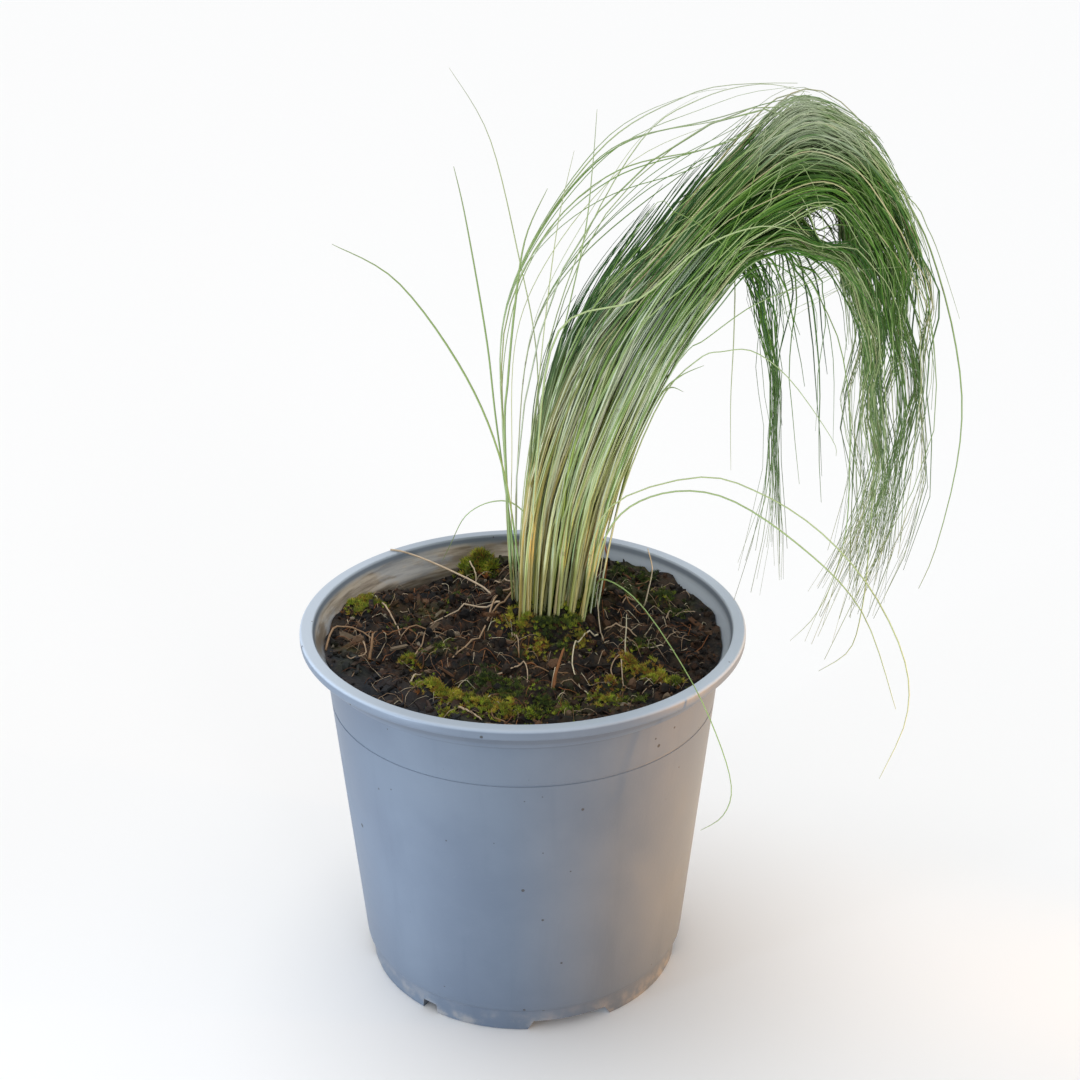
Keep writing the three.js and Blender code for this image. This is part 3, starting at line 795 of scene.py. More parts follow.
# roots and stalks that stand out: [tone, radius, then x, y and height over the soil at each point]
namedRoots = [
    (0.74, 0.44, [(-1, 23, 2.5), (-4, 20, 2.4), (-9, 13.5, 1.6), (-11, 4, 1.2), (-15.5, -6, 1.6),
                  (-20, -15, 0.2)]),
    (0.70, 0.40, [(-2, 18, 2.0), (-6, 13, 2.0), (-9, 9, 1.4), (-12, 5, 0.2)]),
    (0.90, 0.34, [(-7, 12.5, 1.8), (-13, 14.2, 1.8), (-19, 14.6, 1.5), (-28, 9.5, 0.3)]),
    (0.88, 0.28, [(-3, 30, 1.6), (-7, 36, 1.8), (-10.5, 40, 0.6)]),
    (0.90, 0.26, [(-17.3, 45.6, 4.6), (-15.2, 40, 3.4), (-15.5, 34.5, 0.3)]),
    (0.84, 0.30, [(-43, 20, 1.4), (-38.5, 9.5, 1.5), (-35.5, -4, 0.3)]),
    (0.66, 0.34, [(-57, -9.5, 0.4), (-55.5, 0, 3.4), (-51, 2, 3.6), (-46, 0, 2.0), (-43.5, -3, 0.3)]),
    (0.80, 0.24, [(-47, -4, 0.5), (-45, -13, 1.6), (-48.5, -18, 1.2), (-51, -11.5, 0.4)]),
    (0.62, 0.50, [(-44, -14, 0.4), (-43.5, -10, 3.4), (-43.6, -5, 4.6)]),
    (1.00, 0.30, [(3.5, 8.4, 2.4), (5.0, 6.4, 1.4), (7.5, 9.4, 2.2), (10.0, 14.0, 4.6)]),
    (0.92, 0.30, [(14, 23, 4.0), (17.5, 21.8, 3.4), (21.4, 15.6, 2.4), (22.4, 3.7, 2.0), (23.5, -4, 0.4)]),
    (0.96, 0.28, [(22, -2, 0.5), (17.7, -5.9, 1.8), (15, -11.5, 2.4), (14.4, -24, 1.8), (19.5, -36, 0.3)]),
    (0.82, 0.26, [(24, 2, 0.5), (29, 1.5, 1.6), (33, -0.2, 1.7), (38, -4, 0.3)]),
    (0.98, 0.24, [(29.5, -15, -0.5), (29.3, -15, 5), (29.5, -15, 10), (29.5, -14.8, 14.4)]),
    (0.95, 0.27, [(36.3, 17.7, -0.5), (37.6, 17.7, 6), (38.7, 17.7, 13.5), (37.2, 17.9, 20.4)]),
    (0.45, 0.40, [(23.8, 19.7, -0.5), (24.6, 19.7, 6), (25.1, 19.7, 12.6), (23.8, 20, 19)]),
    (0.48, 0.36, [(-3, -18, 0.3), (2, -17.4, 1.6), (6.5, -18, 0.3)]),
    (0.84, 0.28, [(-7.2, -22.3, 0.4), (-2, -22, 1.8), (1.3, -23.5, 1.8), (1.4, -31, 0.2)]),
    (0.50, 0.60, [(8.8, -32.8, -0.3), (9.2, -31.5, 4), (10.5, -30, 8.4), (11.6, -29, 10.4)]),
    (0.94, 0.24, [(8.2, -32.4, -0.3), (8.6, -31.8, 3), (9.2, -31, 6.4)]),
    (0.86, 0.40, [(-17.3, -42.8, 0.5), (-14, -47, 1.2), (-10.6, -50.4, 0.5)]),
    (0.92, 0.28, [(-31.4, -27.6, 0.3), (-30, -25.4, 1.7), (-28.3, -23.2, 0.3)]),
    (0.88, 0.26, [(42.3, 9.6, 0.4), (44, 12, 1.6), (46.3, 14.6, 0.5)]),
    (0.80, 0.24, [(-3.3, -0.2, 0.4), (-1.5, -7, 2.0), (-1.0, -13, 0.4)]),
    (0.74, 0.26, [(-32, -13, 0.4), (-30, -8, 1.4), (-29, 0, 1.0), (-27.5, 8, 0.3)]),
    (0.55, 0.30, [(25, 18, 1.0), (30, 16, 1.8), (35, 12, 1.4), (41, 10, 0.2)]),
    (0.78, 0.22, [(27, -27, 0.3), (25, -22, 1.6), (28, -17, 1.6), (34, -20, 0.3)]),
    (0.90, 0.22, [(28.5, -19, -0.3), (28, -20, 3), (28.4, -30, 0.2)]),
]
# a dry stalk that has fallen from the crown over the back left of the rim, as [x, y, z]
dryStalk = [(-6, 14, 105.6), (-8.6, 18.4, 108.0), (-13, 27.6, 108.6), (-28.4, 40.4, 110.5), (-38, 46, 111.7),
            (-42.5, 47.6, 111.8)]


def lieAlong(path, count):
    return [Vector((x, y, soilTop(x, y) + 0.6 * soilRough(x, y) + lift))
            for x, y, lift in alongPath(path, count)]


def walk(x, y, turn, pace):
    return x + pace * math.cos(turn), y + pace * math.sin(turn)


def makeFibres():
    draw = random.Random(21)
    s = fibreShape
    count = s["points"]
    strands = []
    while len(strands) < s["count"]:
        x, y = onSoil(draw, s["keepFrom"], 1.5)
        turn, curl = anyTurn(draw), draw.uniform(-s["curl"], s["curl"])
        length = draw.uniform(*s["long"])
        lift = draw.uniform(*s["lift"])
        path = []
        for step in range(4):
            arched = math.sin(step / 3 * math.pi) * lift
            path.append((x, y, arched - s["sunk"] + draw.uniform(0, s["uneven"])))
            x, y = walk(x, y, turn, length / 3)
            turn += curl / 3
        if inPot(x, y, 2):
            radius = draw.uniform(*s["radius"])
            tone = draw.uniform(*s["dark"]) if draw.random() < s["darkShare"] else draw.uniform(*s["pale"])
            radii = [radius * (1 - s["taper"] * i / (count - 1)) for i in range(count)]
            strands.append({"points": lieAlong(path, count), "tone": tone, "radii": radii})
    return sweep("peat_fibres", strands, roundSection("fibreSection", 3))


def rootStrand(path, radius, tone):
    count = rootShape["points"]
    radii = [radius * (1 - rootShape["taper"] * i / count) for i in range(count)]
    return {"points": lieAlong(path, count), "tone": tone, "radii": radii}


def makeRoots():
    draw = random.Random(22)
    s = rootShape
    count = s["points"]
    strands = [rootStrand(path, radius, tone) for tone, radius, path in namedRoots]
    strands.append({"points": [Vector(place) for place in alongPath(dryStalk, count)],
                    "radii": [s["stalkRadius"]] * count, "tone": s["stalkTone"]})
    for _ in range(s["count"]):
        x, y = onSoil(draw, s["keepFrom"], 6)
        turn = anyTurn(draw)
        length = draw.uniform(*s["long"])
        path = []
        for step in range(5):
            if inPot(x, y, 2):
                path.append((x, y, draw.uniform(*s["lift"]) if 0 < step < 4 else -s["sunk"]))
            x, y = walk(x, y, turn, length / 4)
            turn += draw.uniform(-s["bend"], s["bend"])
        if len(path) > 2:
            strands.append(rootStrand(path, draw.uniform(*s["radius"]), draw.random()))
    return sweep("surface_roots", strands, roundSection("rootSection", 5))


rootLook = {
    "tones": [(0.0, (0.018, 0.012, 0.009)), (0.3, (0.080, 0.032, 0.016)), (0.46, (0.26, 0.095, 0.030)),
              (0.6, (0.26, 0.15, 0.075)), (0.78, (0.40, 0.28, 0.18)), (0.9, (0.56, 0.44, 0.31)),
              (1.0, (0.68, 0.64, 0.46))],
    "soiled": (0.03, 0.02, 0.012), "soiledShare": 0.4,
    "roughness": 0.7, "level": 0.3, "knotDepth": 0.12,
}


def rootFinish():
    look = rootLook
    material, tree = newFinish("root_tan", look["roughness"], look["level"])
    tone = addShade(tree)
    place = addStretch(tree)
    colour = addRamp(tree, tone, look["tones"])
    soiled = addPatches(tree, place, 260, 0.5, 0.7)
    colour = paint(tree, colour, look["soiled"], soiled, look["soiledShare"])
    knots = addGrain(tree, place, 1200, 3)
    bumps = addBump(tree, knots, look["knotDepth"], 0.6)
    return finishOff(material, colour, addRange(tree, knots, 0.3, 0.7, 0.6, 0.85), bumps)


rootTan = rootFinish()
settle(makeFibres(), rootTan, "peat_soil")
settle(makeRoots(), rootTan, "peat_soil")
print("fibres and roots laid")


# [x, y, spread, sprigs, height of the cushion, length of a sprig, tone from the darkest green to rust]
mossCushions = [
    (-14.6, 49.5, 4.4, 150, 4.6, 2.6, 0.64), (-18.5, 51.5, 3, 36, 2.0, 2.2, 0.55),
    (-10.5, 47, 2.6, 30, 2.0, 2.4, 0.6), (-28, -28.5, 3.5, 50, 0.9, 1.3, 0.55),
    (-23.5, -32.5, 4.5, 110, 1.4, 1.5, 0.72), (-17.5, -36.5, 5, 130, 1.4, 1.4, 0.68),
    (-12, -41, 5, 120, 1.2, 1.4, 0.62), (-5, -43.5, 5, 90, 1.2, 1.4, 0.68),
    (3, -45, 5, 60, 1.0, 1.2, 0.45), (-20, -46, 4, 40, 0.8, 1.2, 0.6),
    (-10, -27, 7, 150, 1.2, 1.2, 0.16), (-4, -34, 7, 130, 1.0, 1.2, 0.2),
    (6, -38, 6, 80, 0.8, 1.1, 0.3), (30.5, -18, 4, 90, 1.4, 1.4, 0.8),
    (34.5, -22.5, 4, 100, 1.5, 1.4, 0.84), (38.5, -26, 3.5, 80, 1.4, 1.5, 0.72),
    (42, -29, 3, 50, 1.2, 1.6, 0.55), (24.5, -28, 5, 60, 0.8, 1.1, 0.85),
    (23, -38, 5, 80, 1.1, 1.3, 0.7), (12, -43, 4, 50, 0.9, 1.2, 0.5),
    (31, -37, 4, 50, 1.0, 1.2, 0.35), (-3.5, 5.5, 4, 90, 1.3, 1.3, 0.75),
    (2, 8, 4.5, 120, 1.8, 1.3, 0.22), (8, 8.5, 5, 140, 2.4, 1.3, 0.3),
    (13.5, 8.5, 4.5, 120, 2.0, 1.4, 0.5), (19, 9.5, 4, 80, 1.4, 1.2, 0.3),
    (0, 0, 4.5, 90, 1.2, 1.2, 0.62), (7, -1, 5, 120, 1.6, 1.2, 0.18),
    (13.5, -1, 4.5, 90, 1.4, 1.3, 0.4), (4, -9.5, 5, 80, 1.0, 1.1, 0.85),
    (11, -9.5, 5, 80, 1.0, 1.1, 0.3), (17, -6, 4, 60, 1.0, 1.2, 0.8),
    (20, 19, 3, 40, 1.4, 1.2, 0.3), (-1, 20, 3.5, 60, 1.6, 1.2, 0.4),
    (8, 26, 5, 60, 1.4, 1.2, 0.3), (30, 41, 5, 60, 1.0, 1.2, 0.1),
    (37, 36, 6, 80, 1.0, 1.3, 0.12), (43, 24, 5, 60, 1.0, 1.2, 0.3),
    (46, 14, 4, 36, 0.8, 1.2, 0.25), (32, 24, 6, 60, 0.8, 1.1, 0.2),
    (34, -6, 5, 50, 0.8, 1.1, 0.3), (-48.5, 23.5, 4, 80, 1.4, 1.4, 0.66),
    (-52, 19.5, 3, 40, 1.0, 1.3, 0.6), (-45, 21, 3.5, 50, 1.0, 1.3, 0.5),
    (-49.5, 15.5, 3.5, 40, 0.8, 1.2, 0.7), (-32.5, -13.5, 3.5, 40, 0.8, 1.2, 0.72),
    (-33, 6, 6, 40, 0.6, 1.1, 0.3), (-20, 24, 6, 40, 0.6, 1.1, 0.3),
    (-24, -8, 6, 40, 0.6, 1.0, 0.4),
]
mossShape = {"density": 1.5, "gathered": 0.62, "kinds": 3, "leaflets": 7, "leafletTurn": 2.4,
             "leafletRadius": 0.13, "upright": 0.25, "spreads": 0.85, "lean": 0.4, "size": (0.6, 1.25),
             "heights": (0.6, 1), "lift": 0.3, "toneSpread": 0.18}


def shapeSprig(seed):
    draw = random.Random(seed)
    s = mossShape
    leaflets = []
    for index in range(s["leaflets"]):
        turn = index * s["leafletTurn"] + draw.uniform(-0.3, 0.3)
        lean = s["upright"] + s["spreads"] * (index / (s["leaflets"] - 1))
        selectOnly()
        bpy.ops.mesh.primitive_cone_add(vertices=3, radius1=s["leafletRadius"], radius2=0, depth=1,
                                        location=(0, 0, 0.5))
        leaflet = bpy.context.object
        applyPlace(leaflet)
        leaflet.data.transform(Euler((0, lean, turn)).to_matrix().to_4x4())
        leaflets.append(leaflet)
    return joinAll(leaflets, "sprig")


def makeMoss():
    draw = random.Random(31)
    s = mossShape
    places, tones = [], []
    for x, y, spread, count, height, length, tone in mossCushions:
        for _ in range(round(count * s["density"])):
            turn = anyTurn(draw)
            away = abs(draw.gauss(0, s["gathered"])) * spread
            px, py = walk(x, y, turn, away)
            if not inPot(px, py, 1.2):
                continue
            lift = height * max(0, 1 - (away / spread) ** 2) * draw.uniform(*s["heights"]) + s["lift"]
            size = length * draw.uniform(*s["size"])
            lean = [draw.uniform(-s["lean"], s["lean"]) for _ in range(2)] + [anyTurn(draw)]
            places.append(placeOn(px, py, lift, lean, (size, size, size)))
            tones.append(min(max(tone + draw.gauss(0, s["toneSpread"]), 0), 1))
    return scatter([shapeSprig(seed) for seed in range(s["kinds"])], places, tones, "moss_cushions")


mossLook = {
    "tones": [(0.0, (0.026, 0.046, 0.013)), (0.25, (0.065, 0.10, 0.018)), (0.45, (0.16, 0.19, 0.026)),
              (0.6, (0.32, 0.43, 0.035)), (0.75, (0.50, 0.46, 0.06)), (0.88, (0.40, 0.24, 0.04)),
              (1.0, (0.24, 0.09, 0.025))],
    "wetShare": 0.6, "roughness": 0.75, "level": 0.3,
}


def mossFinish():
    look = mossLook
    material, tree = newFinish("moss_green", look["roughness"], look["level"])
    place = addStretch(tree)
    colour = addRamp(tree, addShade(tree), look["tones"])
    # where it is wet, it is as dark as its darkest tone
    darkest = look["tones"][0][1]
    colour = paint(tree, colour, darkest, addPatches(tree, place, 170, 0.45, 0.65), look["wetShare"])
    rough = addRange(tree, addPatches(tree, place, 400, 0.3, 0.7), 0, 1, 0.6, 0.85)
    return finishOff(material, colour, rough)


settle(makeMoss(), mossFinish(), "grass_leaf")
print("moss planted")


# the grass: leaves run between six guide curves side by side, each [x, z] from the soil to the tip

guides = [
    {"base": -13, "path": [(-3, 108), (-5.5, 150), (-4, 202), (20, 245), (45, 259), (70, 262.5),
                           (91, 253.5), (104.5, 236), (113, 213), (117, 188), (118, 157), (112, 113)]},
    {"base": -9, "path": [(-1, 108), (2, 151.5), (15.5, 191), (40, 219.5), (57.5, 240.5), (74, 255.5),
                          (89, 248.5), (102.5, 232), (109.5, 213), (112.5, 188), (113.5, 154), (105, 108)]},
    {"base": -1.5, "path": [(8, 107), (13, 149), (28, 190), (49, 222), (62, 236), (75.5, 243.5),
                            (87, 239), (97, 226), (102.5, 208), (105, 183), (106, 149), (101, 103)]},
    {"base": 9.4, "path": [(17.5, 107), (25, 147), (39, 185), (58, 214), (66.5, 221), (76, 223.5),
                           (84.5, 219.5), (90.5, 211), (94, 197), (96, 175), (97.5, 146), (97.5, 108)]},
    {"base": 10.2, "path": [(17.8, 107), (25.6, 146), (40, 183), (55.5, 207), (60.5, 214.5), (65, 217),
                            (69, 212), (71, 202), (72, 188), (73, 171), (75, 146), (76.5, 116)]},
    {"base": 13, "path": [(18.2, 107), (26.2, 145), (40.6, 181), (54, 203.5), (58, 211), (60.5, 213),
                          (63.5, 208), (66, 201), (68.4, 188), (69.6, 171), (69.8, 146), (69.5, 117)]},
]
fan = [1, 1, 1.12, 1.36, 1.52, 1.64, 1.72, 1.76, 1.74, 1.6, 1.36, 1.08]
rows = [(-7.2, 4), (0, 5), (7.2, 4)]
tillerPitch = {"x": 5.2, "y": 7.2}
# the sheaf and what hangs beside it: [from base, to base, how full]
sheaf = {
    "wisps": {"from": -13, "to": -9, "fill": 0.08, "locks": 0, "waving": 0},
    "main": {"from": -9, "to": 9.4, "fill": 1.0, "locks": 18, "waving": 1},
    "loose": {"from": 9.4, "to": 10.2, "fill": 0.3, "locks": 0, "waving": 0},
    "inner": {"from": 10.2, "to": 13, "fill": 0.5, "locks": 2, "waving": 0.35},
}
# where leaves end: [part of the zone's leaves, from, to]
leafEnds = {
    "wisps": [(1, 0.3, 0.56)],
    "main": [(0.4, 0.2, 0.62), (0.45, 0.58, 0.78), (0.15, 0.8, 1.0)],
    "loose": [(1, 0.66, 0.95)],
    "inner": [(0.35, 0.6, 0.82), (0.65, 0.86, 1.0)],
}

leafShape = {
    "points": 36, "crowded": 0.07, "perTiller": 150, "radius": (0.2, 0.42), "tipRadius": 0.07, "foot": 99,
    "stalks": 22, "stalkWidth": 0.2, "stalkSpread": 1.25, "stalkLean": 1.3, "leansTo": 0.13, "leftmost": -9.2,
    "opensFrom": (0.0, 0.08), "opensOver": (0.18, 0.36),
    "wispsFrom": (0.13, 0.24), "wispStiffness": 0.7, "zoneWidth": {"wisps": 0.56, "inner": 0.66},
    "sway": 1.2, "swayAlong": 21, "swayAcross": 11,
    "lockPull": 0.94, "lockFrom": 0.6, "lockTo": 0.8, "lockWave": (1.2, 3.6), "lockPeriod": (0.13, 0.26),
    "crossings": 2, "crossing": 3.0, "crossesOver": (0.22, 0.5),
    "wander": (0.5, 3.0), "stiffTo": 0.42, "stiffness": 0.15,
    "curl": (0.15, 0.95), "curlPeriod": (0.08, 0.17), "curlFrom": (0.36, 0.5), "curlTo": (0.58, 0.68),
    "pull": (0.8, 1.06), "crossesFrom": (0.0, 0.8), "swings": (0.2, 0.9),
    "loners": 0.14, "lonerCrossing": 2.0, "lonerLift": (0.3, 3.0), "lonerPull": 0.3,
    "tufts": 0.24, "tuftsTo": -5, "lift": 1.0, "shortLift": (-1.0, 4.0), "toneSteps": 57,
    "splaying": 0.3, "splay": (3, 18), "drop": 0.8,
    "taper": 0.3, "top": 263.3, "right": 126.2, "easing": 3.0,
}
# the wisps leave the soil as three thin stalks: [base, depth]
wispFeet = [(-12.9, -3), (-12.0, 1), (-11.1, 4.5)]
# short leaves stick out over the sheaf in tufts: [share of the way to their tips, how far out]
tufts = [(0.20, 5.0), (0.205, 5.8), (0.275, 9.5), (0.33, 8.0), (0.40, 6.0)]
# gaps where the leaves part over the crest and where they hang: [share of the way, base]
partings = [(0.66, -3.0), (0.80, -4.5), (0.84, 2.0)]
partingShape = {"wide": 2.5, "long": 0.05, "slant": 0.43, "reach": 2.0, "liftStep": 1.8, "calm": 0.85}
# a hole to see through under the crest, [x, z] of its middle in the plane y = 8, with its two half sizes;
# the leaves pass over or under it, but for a few that cross it
crestHole = {"middle": (82.3, 226.3), "y": 8, "long": 10.5, "wide": 5.0, "turn": -22, "crossed": 0.04,
             "seenFrom": Vector((5, -456.3, 340.9))}
culmShape = {"perTiller": 9, "radius": (0.28, 0.52), "end": (0.08, 0.22), "aside": 0.4, "thinsTo": 0.3,
             "tone": (0.45, 0.92)}
# thin leaf ends that come out of the bunch and cross the others over the crest
crestLeaf = {"perTiller": 26, "from": (0.34, 0.54), "long": (0.06, 0.16), "aside": 8.0, "lift": (0.6, 3.2),
             "starts": 8.5, "reaches": (-9.6, 10.2), "radius": (0.1, 0.2), "tone": (0.45, 0.86)}

guideSteps = 220
guideLines = [[Vector((x, 0, z)) for x, z in alongPath(guide["path"], guideSteps + 1)] for guide in guides]


def onGuide(index, share):
    place = min(max(share, 0), 1) * guideSteps
    low = min(int(place), guideSteps - 1)
    return guideLines[index][low].lerp(guideLines[index][low + 1], place - low)


def bunchPoint(base, depth, share):
    left = 0
    while left < len(guides) - 2 and guides[left + 1]["base"] <= base:
        left += 1
    between = (base - guides[left]["base"]) / (guides[left + 1]["base"] - guides[left]["base"])
    place = onGuide(left, share).lerp(onGuide(left + 1, share), between)
    y = crown["y"] + depth * alongLine(fan, share)
    grown = leafShape["sway"] * smooth(share, 0, 0.23)
    wave = math.sin(place.z / leafShape["swayAlong"] + y / leafShape["swayAcross"])
    turn = math.cos((place.z + place.x) / leafShape["swayAlong"])
    return Vector((place.x + grown * wave, y + grown * turn, place.z))


def zoneOf(base):
    return next((name for name, zone in sheaf.items() if base < zone["to"]), "inner")


def newLock(zone, place, draw):
    s = leafShape
    return {"base": mix(zone["from"], zone["to"], place), "depth": draw.uniform(-10.8, 10.8),
            "tone": draw.uniform(0.05, 0.62), "wave": draw.uniform(*s["lockWave"]),
            "period": draw.uniform(*s["lockPeriod"]), "phase": anyTurn(draw)}


def makeLocks():
    draw = random.Random(41)
    return {name: [newLock(zone, (index + draw.uniform(0.2, 0.8)) / zone["locks"], draw)
                   for index in range(zone["locks"])] for name, zone in sheaf.items()}


locks = makeLocks()


def nearestLock(zone, base, depth):
    def apart(lock):
        return (lock["base"] - base) ** 2 + (0.7 * (lock["depth"] - depth)) ** 2
    alone = {"base": base, "depth": depth, "tone": 0.5, "wave": 0, "period": 1, "phase": 0}
    return min(locks[zone], key=apart, default=alone)


def easedUnder(value, limit):
    near = leafShape["easing"]
    return value if value < limit - near else limit - near * math.exp((limit - near - value) / near)


def keepInside(place):
    return Vector((easedUnder(place.x, leafShape["right"]), place.y, easedUnder(place.z, leafShape["top"])))


def outwardAt(share):
    run = onGuide(2, share + 0.02) - onGuide(2, share - 0.02)
    return Vector((-run.z, 0, run.x)).normalized()


def pickEnd(zone, base, draw):
    # how far a leaf reaches, how far out it stands, and whether it is one of a tuft
    s = leafShape
    if zone == "main" and base < s["tuftsTo"] and draw.random() < s["tufts"]:
        end, lift = draw.choice(tufts)
        return end + draw.gauss(0, 0.012), lift + draw.gauss(0, 0.7), True
    pick = draw.random()
    for part, low, high in leafEnds[zone]:
        pick -= part
        if pick < 0:
            break
    lift = draw.uniform(*s["shortLift"]) if high < 0.7 else draw.gauss(0, s["lift"])
    return draw.uniform(low, high), lift, False


def alongLeaf(step):
    # the points of a leaf stand closest together halfway, where it bends over the crest
    even = max(0, step - 1) / (leafShape["points"] - 2)
    return even + leafShape["crowded"] * math.sin(2 * math.pi * even)


def inCell(cell, draw):
    return [middle + draw.uniform(-1, 1) * tillerPitch[axis] / 2 for middle, axis in zip(cell, "xy")]


def growStalks(cell, draw):
    # each tiller is a handful of stalks side by side
    s = leafShape
    stalks = []
    for index in range(s["stalks"]):
        turn = 2 * math.pi * (index + draw.uniform(-0.25, 0.25)) / s["stalks"]
        away = s["stalkSpread"] * math.sqrt(draw.uniform(0.15, 1))
        base = cell[0] + away * math.cos(turn) * tillerPitch["x"] / 2
        depth = cell[1] + away * math.sin(turn) * tillerPitch["y"] / 2
        stalks.append({"base": max(s["leftmost"], base), "depth": depth, "tone": draw.random(),
                       "lean": draw.gauss(0, s["stalkLean"]), "leanDepth": draw.gauss(0, s["stalkLean"])})
    return stalks


def partedBy(runAt, lift, end):
    # which side of each gap the leaf passes, and how strongly it bends round it
    p = partingShape
    bends = []
    for where, middle in partings:
        base, depth, _ = runAt(where)
        lifted = lift * smooth(where / end, 0.25, 1) ** 1.5 / p["liftStep"]
        across = base - lifted - p["slant"] * depth - middle
        bends.append((where, math.copysign(p["wide"] * math.exp(-abs(across) / p["reach"]), across)))
    return bends


def passHole(points, draw):
    hole = crestHole
    if draw.random() < hole["crossed"]:
        return points
    eye = hole["seenFrom"]
    turn = math.radians(hole["turn"])
    # each point in the hole's own measure, along it and across it, as seen from the eye
    local = []
    for point in points:
        reach = (hole["y"] - eye.y) / (point.y - eye.y)
        x = eye.x + (point.x - eye.x) * reach - hole["middle"][0]
        z = eye.z + (point.z - eye.z) * reach - hole["middle"][1]
        along = (x * math.cos(turn) + z * math.sin(turn)) / hole["long"]
        across = (-x * math.sin(turn) + z * math.cos(turn)) / hole["wide"]
        local.append((along, across, reach))
    side = math.copysign(1, min(local, key=lambda place: abs(place[0]))[1])
    moved = []
    for point, (along, across, reach) in zip(points, local):
        rim = max(0, 1 - along ** 2)
        push = side * (math.hypot(across, rim) - abs(across)) * hole["wide"] / reach
        moved.append(point + Vector((-math.sin(turn) * push, 0, math.cos(turn) * push)))
    return moved


def growLeaf(cell, stalk, draw):
    s = leafShape
    base = min(max(cell[0] + draw.uniform(-1, 1) * tillerPitch["x"] / 2, -13), 13)
    zone = zoneOf(base)
    if draw.random() > sheaf[zone]["fill"]:
        return None
    depth = cell[1] + draw.uniform(-1, 1) * tillerPitch["y"] / 2
    end, lift, inTuft = pickEnd(zone, base, draw)
    lock = nearestLock(zone, base, depth)
    alone = zone == "main" and not inTuft and draw.random() < s["loners"]
    foot = [stalk[key] + draw.uniform(-1, 1) * s["stalkWidth"] for key in ("base", "depth")]
    opensFrom = draw.uniform(*s["opensFrom"])
    lean, leanDepth, stiffness = stalk["lean"], stalk["leanDepth"], s["stiffness"]
    if zone == "wisps":
        foot = draw.choice(wispFeet)
        opensFrom = draw.uniform(*s["wispsFrom"])
        lean, leanDepth, stiffness = 0, 0, s["wispStiffness"]
    opensTo = opensFrom + draw.uniform(*s["opensOver"])
    # narrow zones have leaves that cross less far
    sideways = s["crossing"] * (sheaf[zone]["to"] - sheaf[zone]["from"]) / 18
    pull = draw.uniform(*s["pull"])
    if alone:
        sideways *= s["lonerCrossing"]
        lift += draw.uniform(*s["lonerLift"])
        pull *= s["lonerPull"]
    crossings = [(draw.uniform(*s["crossesFrom"]), draw.uniform(*s["crossesOver"]), draw.gauss(0, sideways),
                  draw.gauss(0, s["crossing"])) for _ in range(s["crossings"])]
    wander = draw.uniform(*s["wander"])
    waves = [(draw.uniform(*s["swings"]), anyTurn(draw), anyTurn(draw)) for _ in range(2)]
    splay = draw.uniform(*s["splay"]) if end > 0.8 and draw.random() < s["splaying"] else 0
    end = max(end, 0.95) if splay else end

    def runAt(share):
        opened = smooth(share, opensFrom, opensTo)
        leans = 1 - smooth(share, 0, s["leansTo"])
        atBase = mix(foot[0], base, opened) + lean * leans
        atDepth = mix(foot[1], depth, opened) + leanDepth * leans
        for start, length, aside, deeper in crossings:
            crossed = smooth(share, start, start + length)
            atBase += aside * crossed
            atDepth += deeper * crossed
        held = min(pull * s["lockPull"] * smooth(share, s["lockFrom"], s["lockTo"]), 1)
        return mix(atBase, lock["base"], held), mix(atDepth, lock["depth"], held), held

    bends = partedBy(runAt, lift, end) if zone == "main" else []
    curl, curlPeriod, curlTurn = draw.uniform(*s["curl"]), draw.uniform(*s["curlPeriod"]), anyTurn(draw)
    points = []
    for step in range(s["points"]):
        share = end * alongLeaf(step)
        atBase, atDepth, held = runAt(share)
        calm = 1
        for where, aside in bends:
            near = math.exp(-((share - where) / partingShape["long"]) ** 2)
            atBase += aside * near
            calm = min(calm, 1 - partingShape["calm"] * near)
        lowest = sheaf[zone]["from"] if share > opensTo or zone == "wisps" else s["leftmost"]
        place = bunchPoint(min(max(atBase, lowest), sheaf[zone]["to"]), atDepth, share)
        grown = wander * smooth(share, 0.02, 0.8) * mix(stiffness, 1, smooth(share, s["stiffTo"], 0.8))
        grown *= (1 - 0.6 * held) * calm
        curled = share / curlPeriod * 2 * math.pi + curlTurn
        place += (Vector((math.sin(curled), math.sin(curled + 1.7), 0.8 * math.cos(curled)))
                  * curl * calm * smooth(share, *s["curlFrom"]) * mix(1, 0.35, smooth(share, *s["curlTo"])))
        for period, phase, other in waves:
            turn = share / period * 2 * math.pi
            swing = Vector((math.sin(turn + phase), math.sin(turn + other), 0.6 * math.cos(turn + phase)))
            place += swing * grown * 0.5
        place.x += (lock["wave"] * sheaf[zone]["waving"] * held
                    * math.sin(share / lock["period"] * 2 * math.pi + lock["phase"]))
        place += outwardAt(share) * lift * smooth(share / end, 0.25, 1) ** 1.5
        swept = splay * smooth(share, 0.84, 1.0) ** 2
        place += Vector((-swept, 0, -swept * s["drop"]))
        if step == 0:
            place.z = s["foot"]
        points.append(keepInside(place))
    tone = tuftTone(draw) if inTuft else leafTone(base, lock["tone"], alone, draw)
    return {"points": passHole(points, draw), "to": end, "tone": tone, "stalk": stalk["tone"],
            "width": s["zoneWidth"].get(zone, 0.8 if tone > 0.66 else 1)}


def leafRadii(radius, count):
    tip, taper = leafShape["tipRadius"], leafShape["taper"]
    return [mix(tip, radius, min(1, (1 - i / (count - 1)) / taper) ** 0.8) for i in range(count)]


def tuftTone(draw):
    # dark, and with a second number that keeps it from paling
    return (draw.randint(2, 12) + draw.uniform(0, 0.3)) / leafShape["toneSteps"]


leafTones = {
    "wisps": (0.5, 0.84), "inner": (0.0, 0.55), "alone": (0.68, 0.86), "dry": (0.86, 0.97),
    "straw": (0.7, 0.92), "pale": (0.7, 0.86), "any": (0.0, 0.75),
}


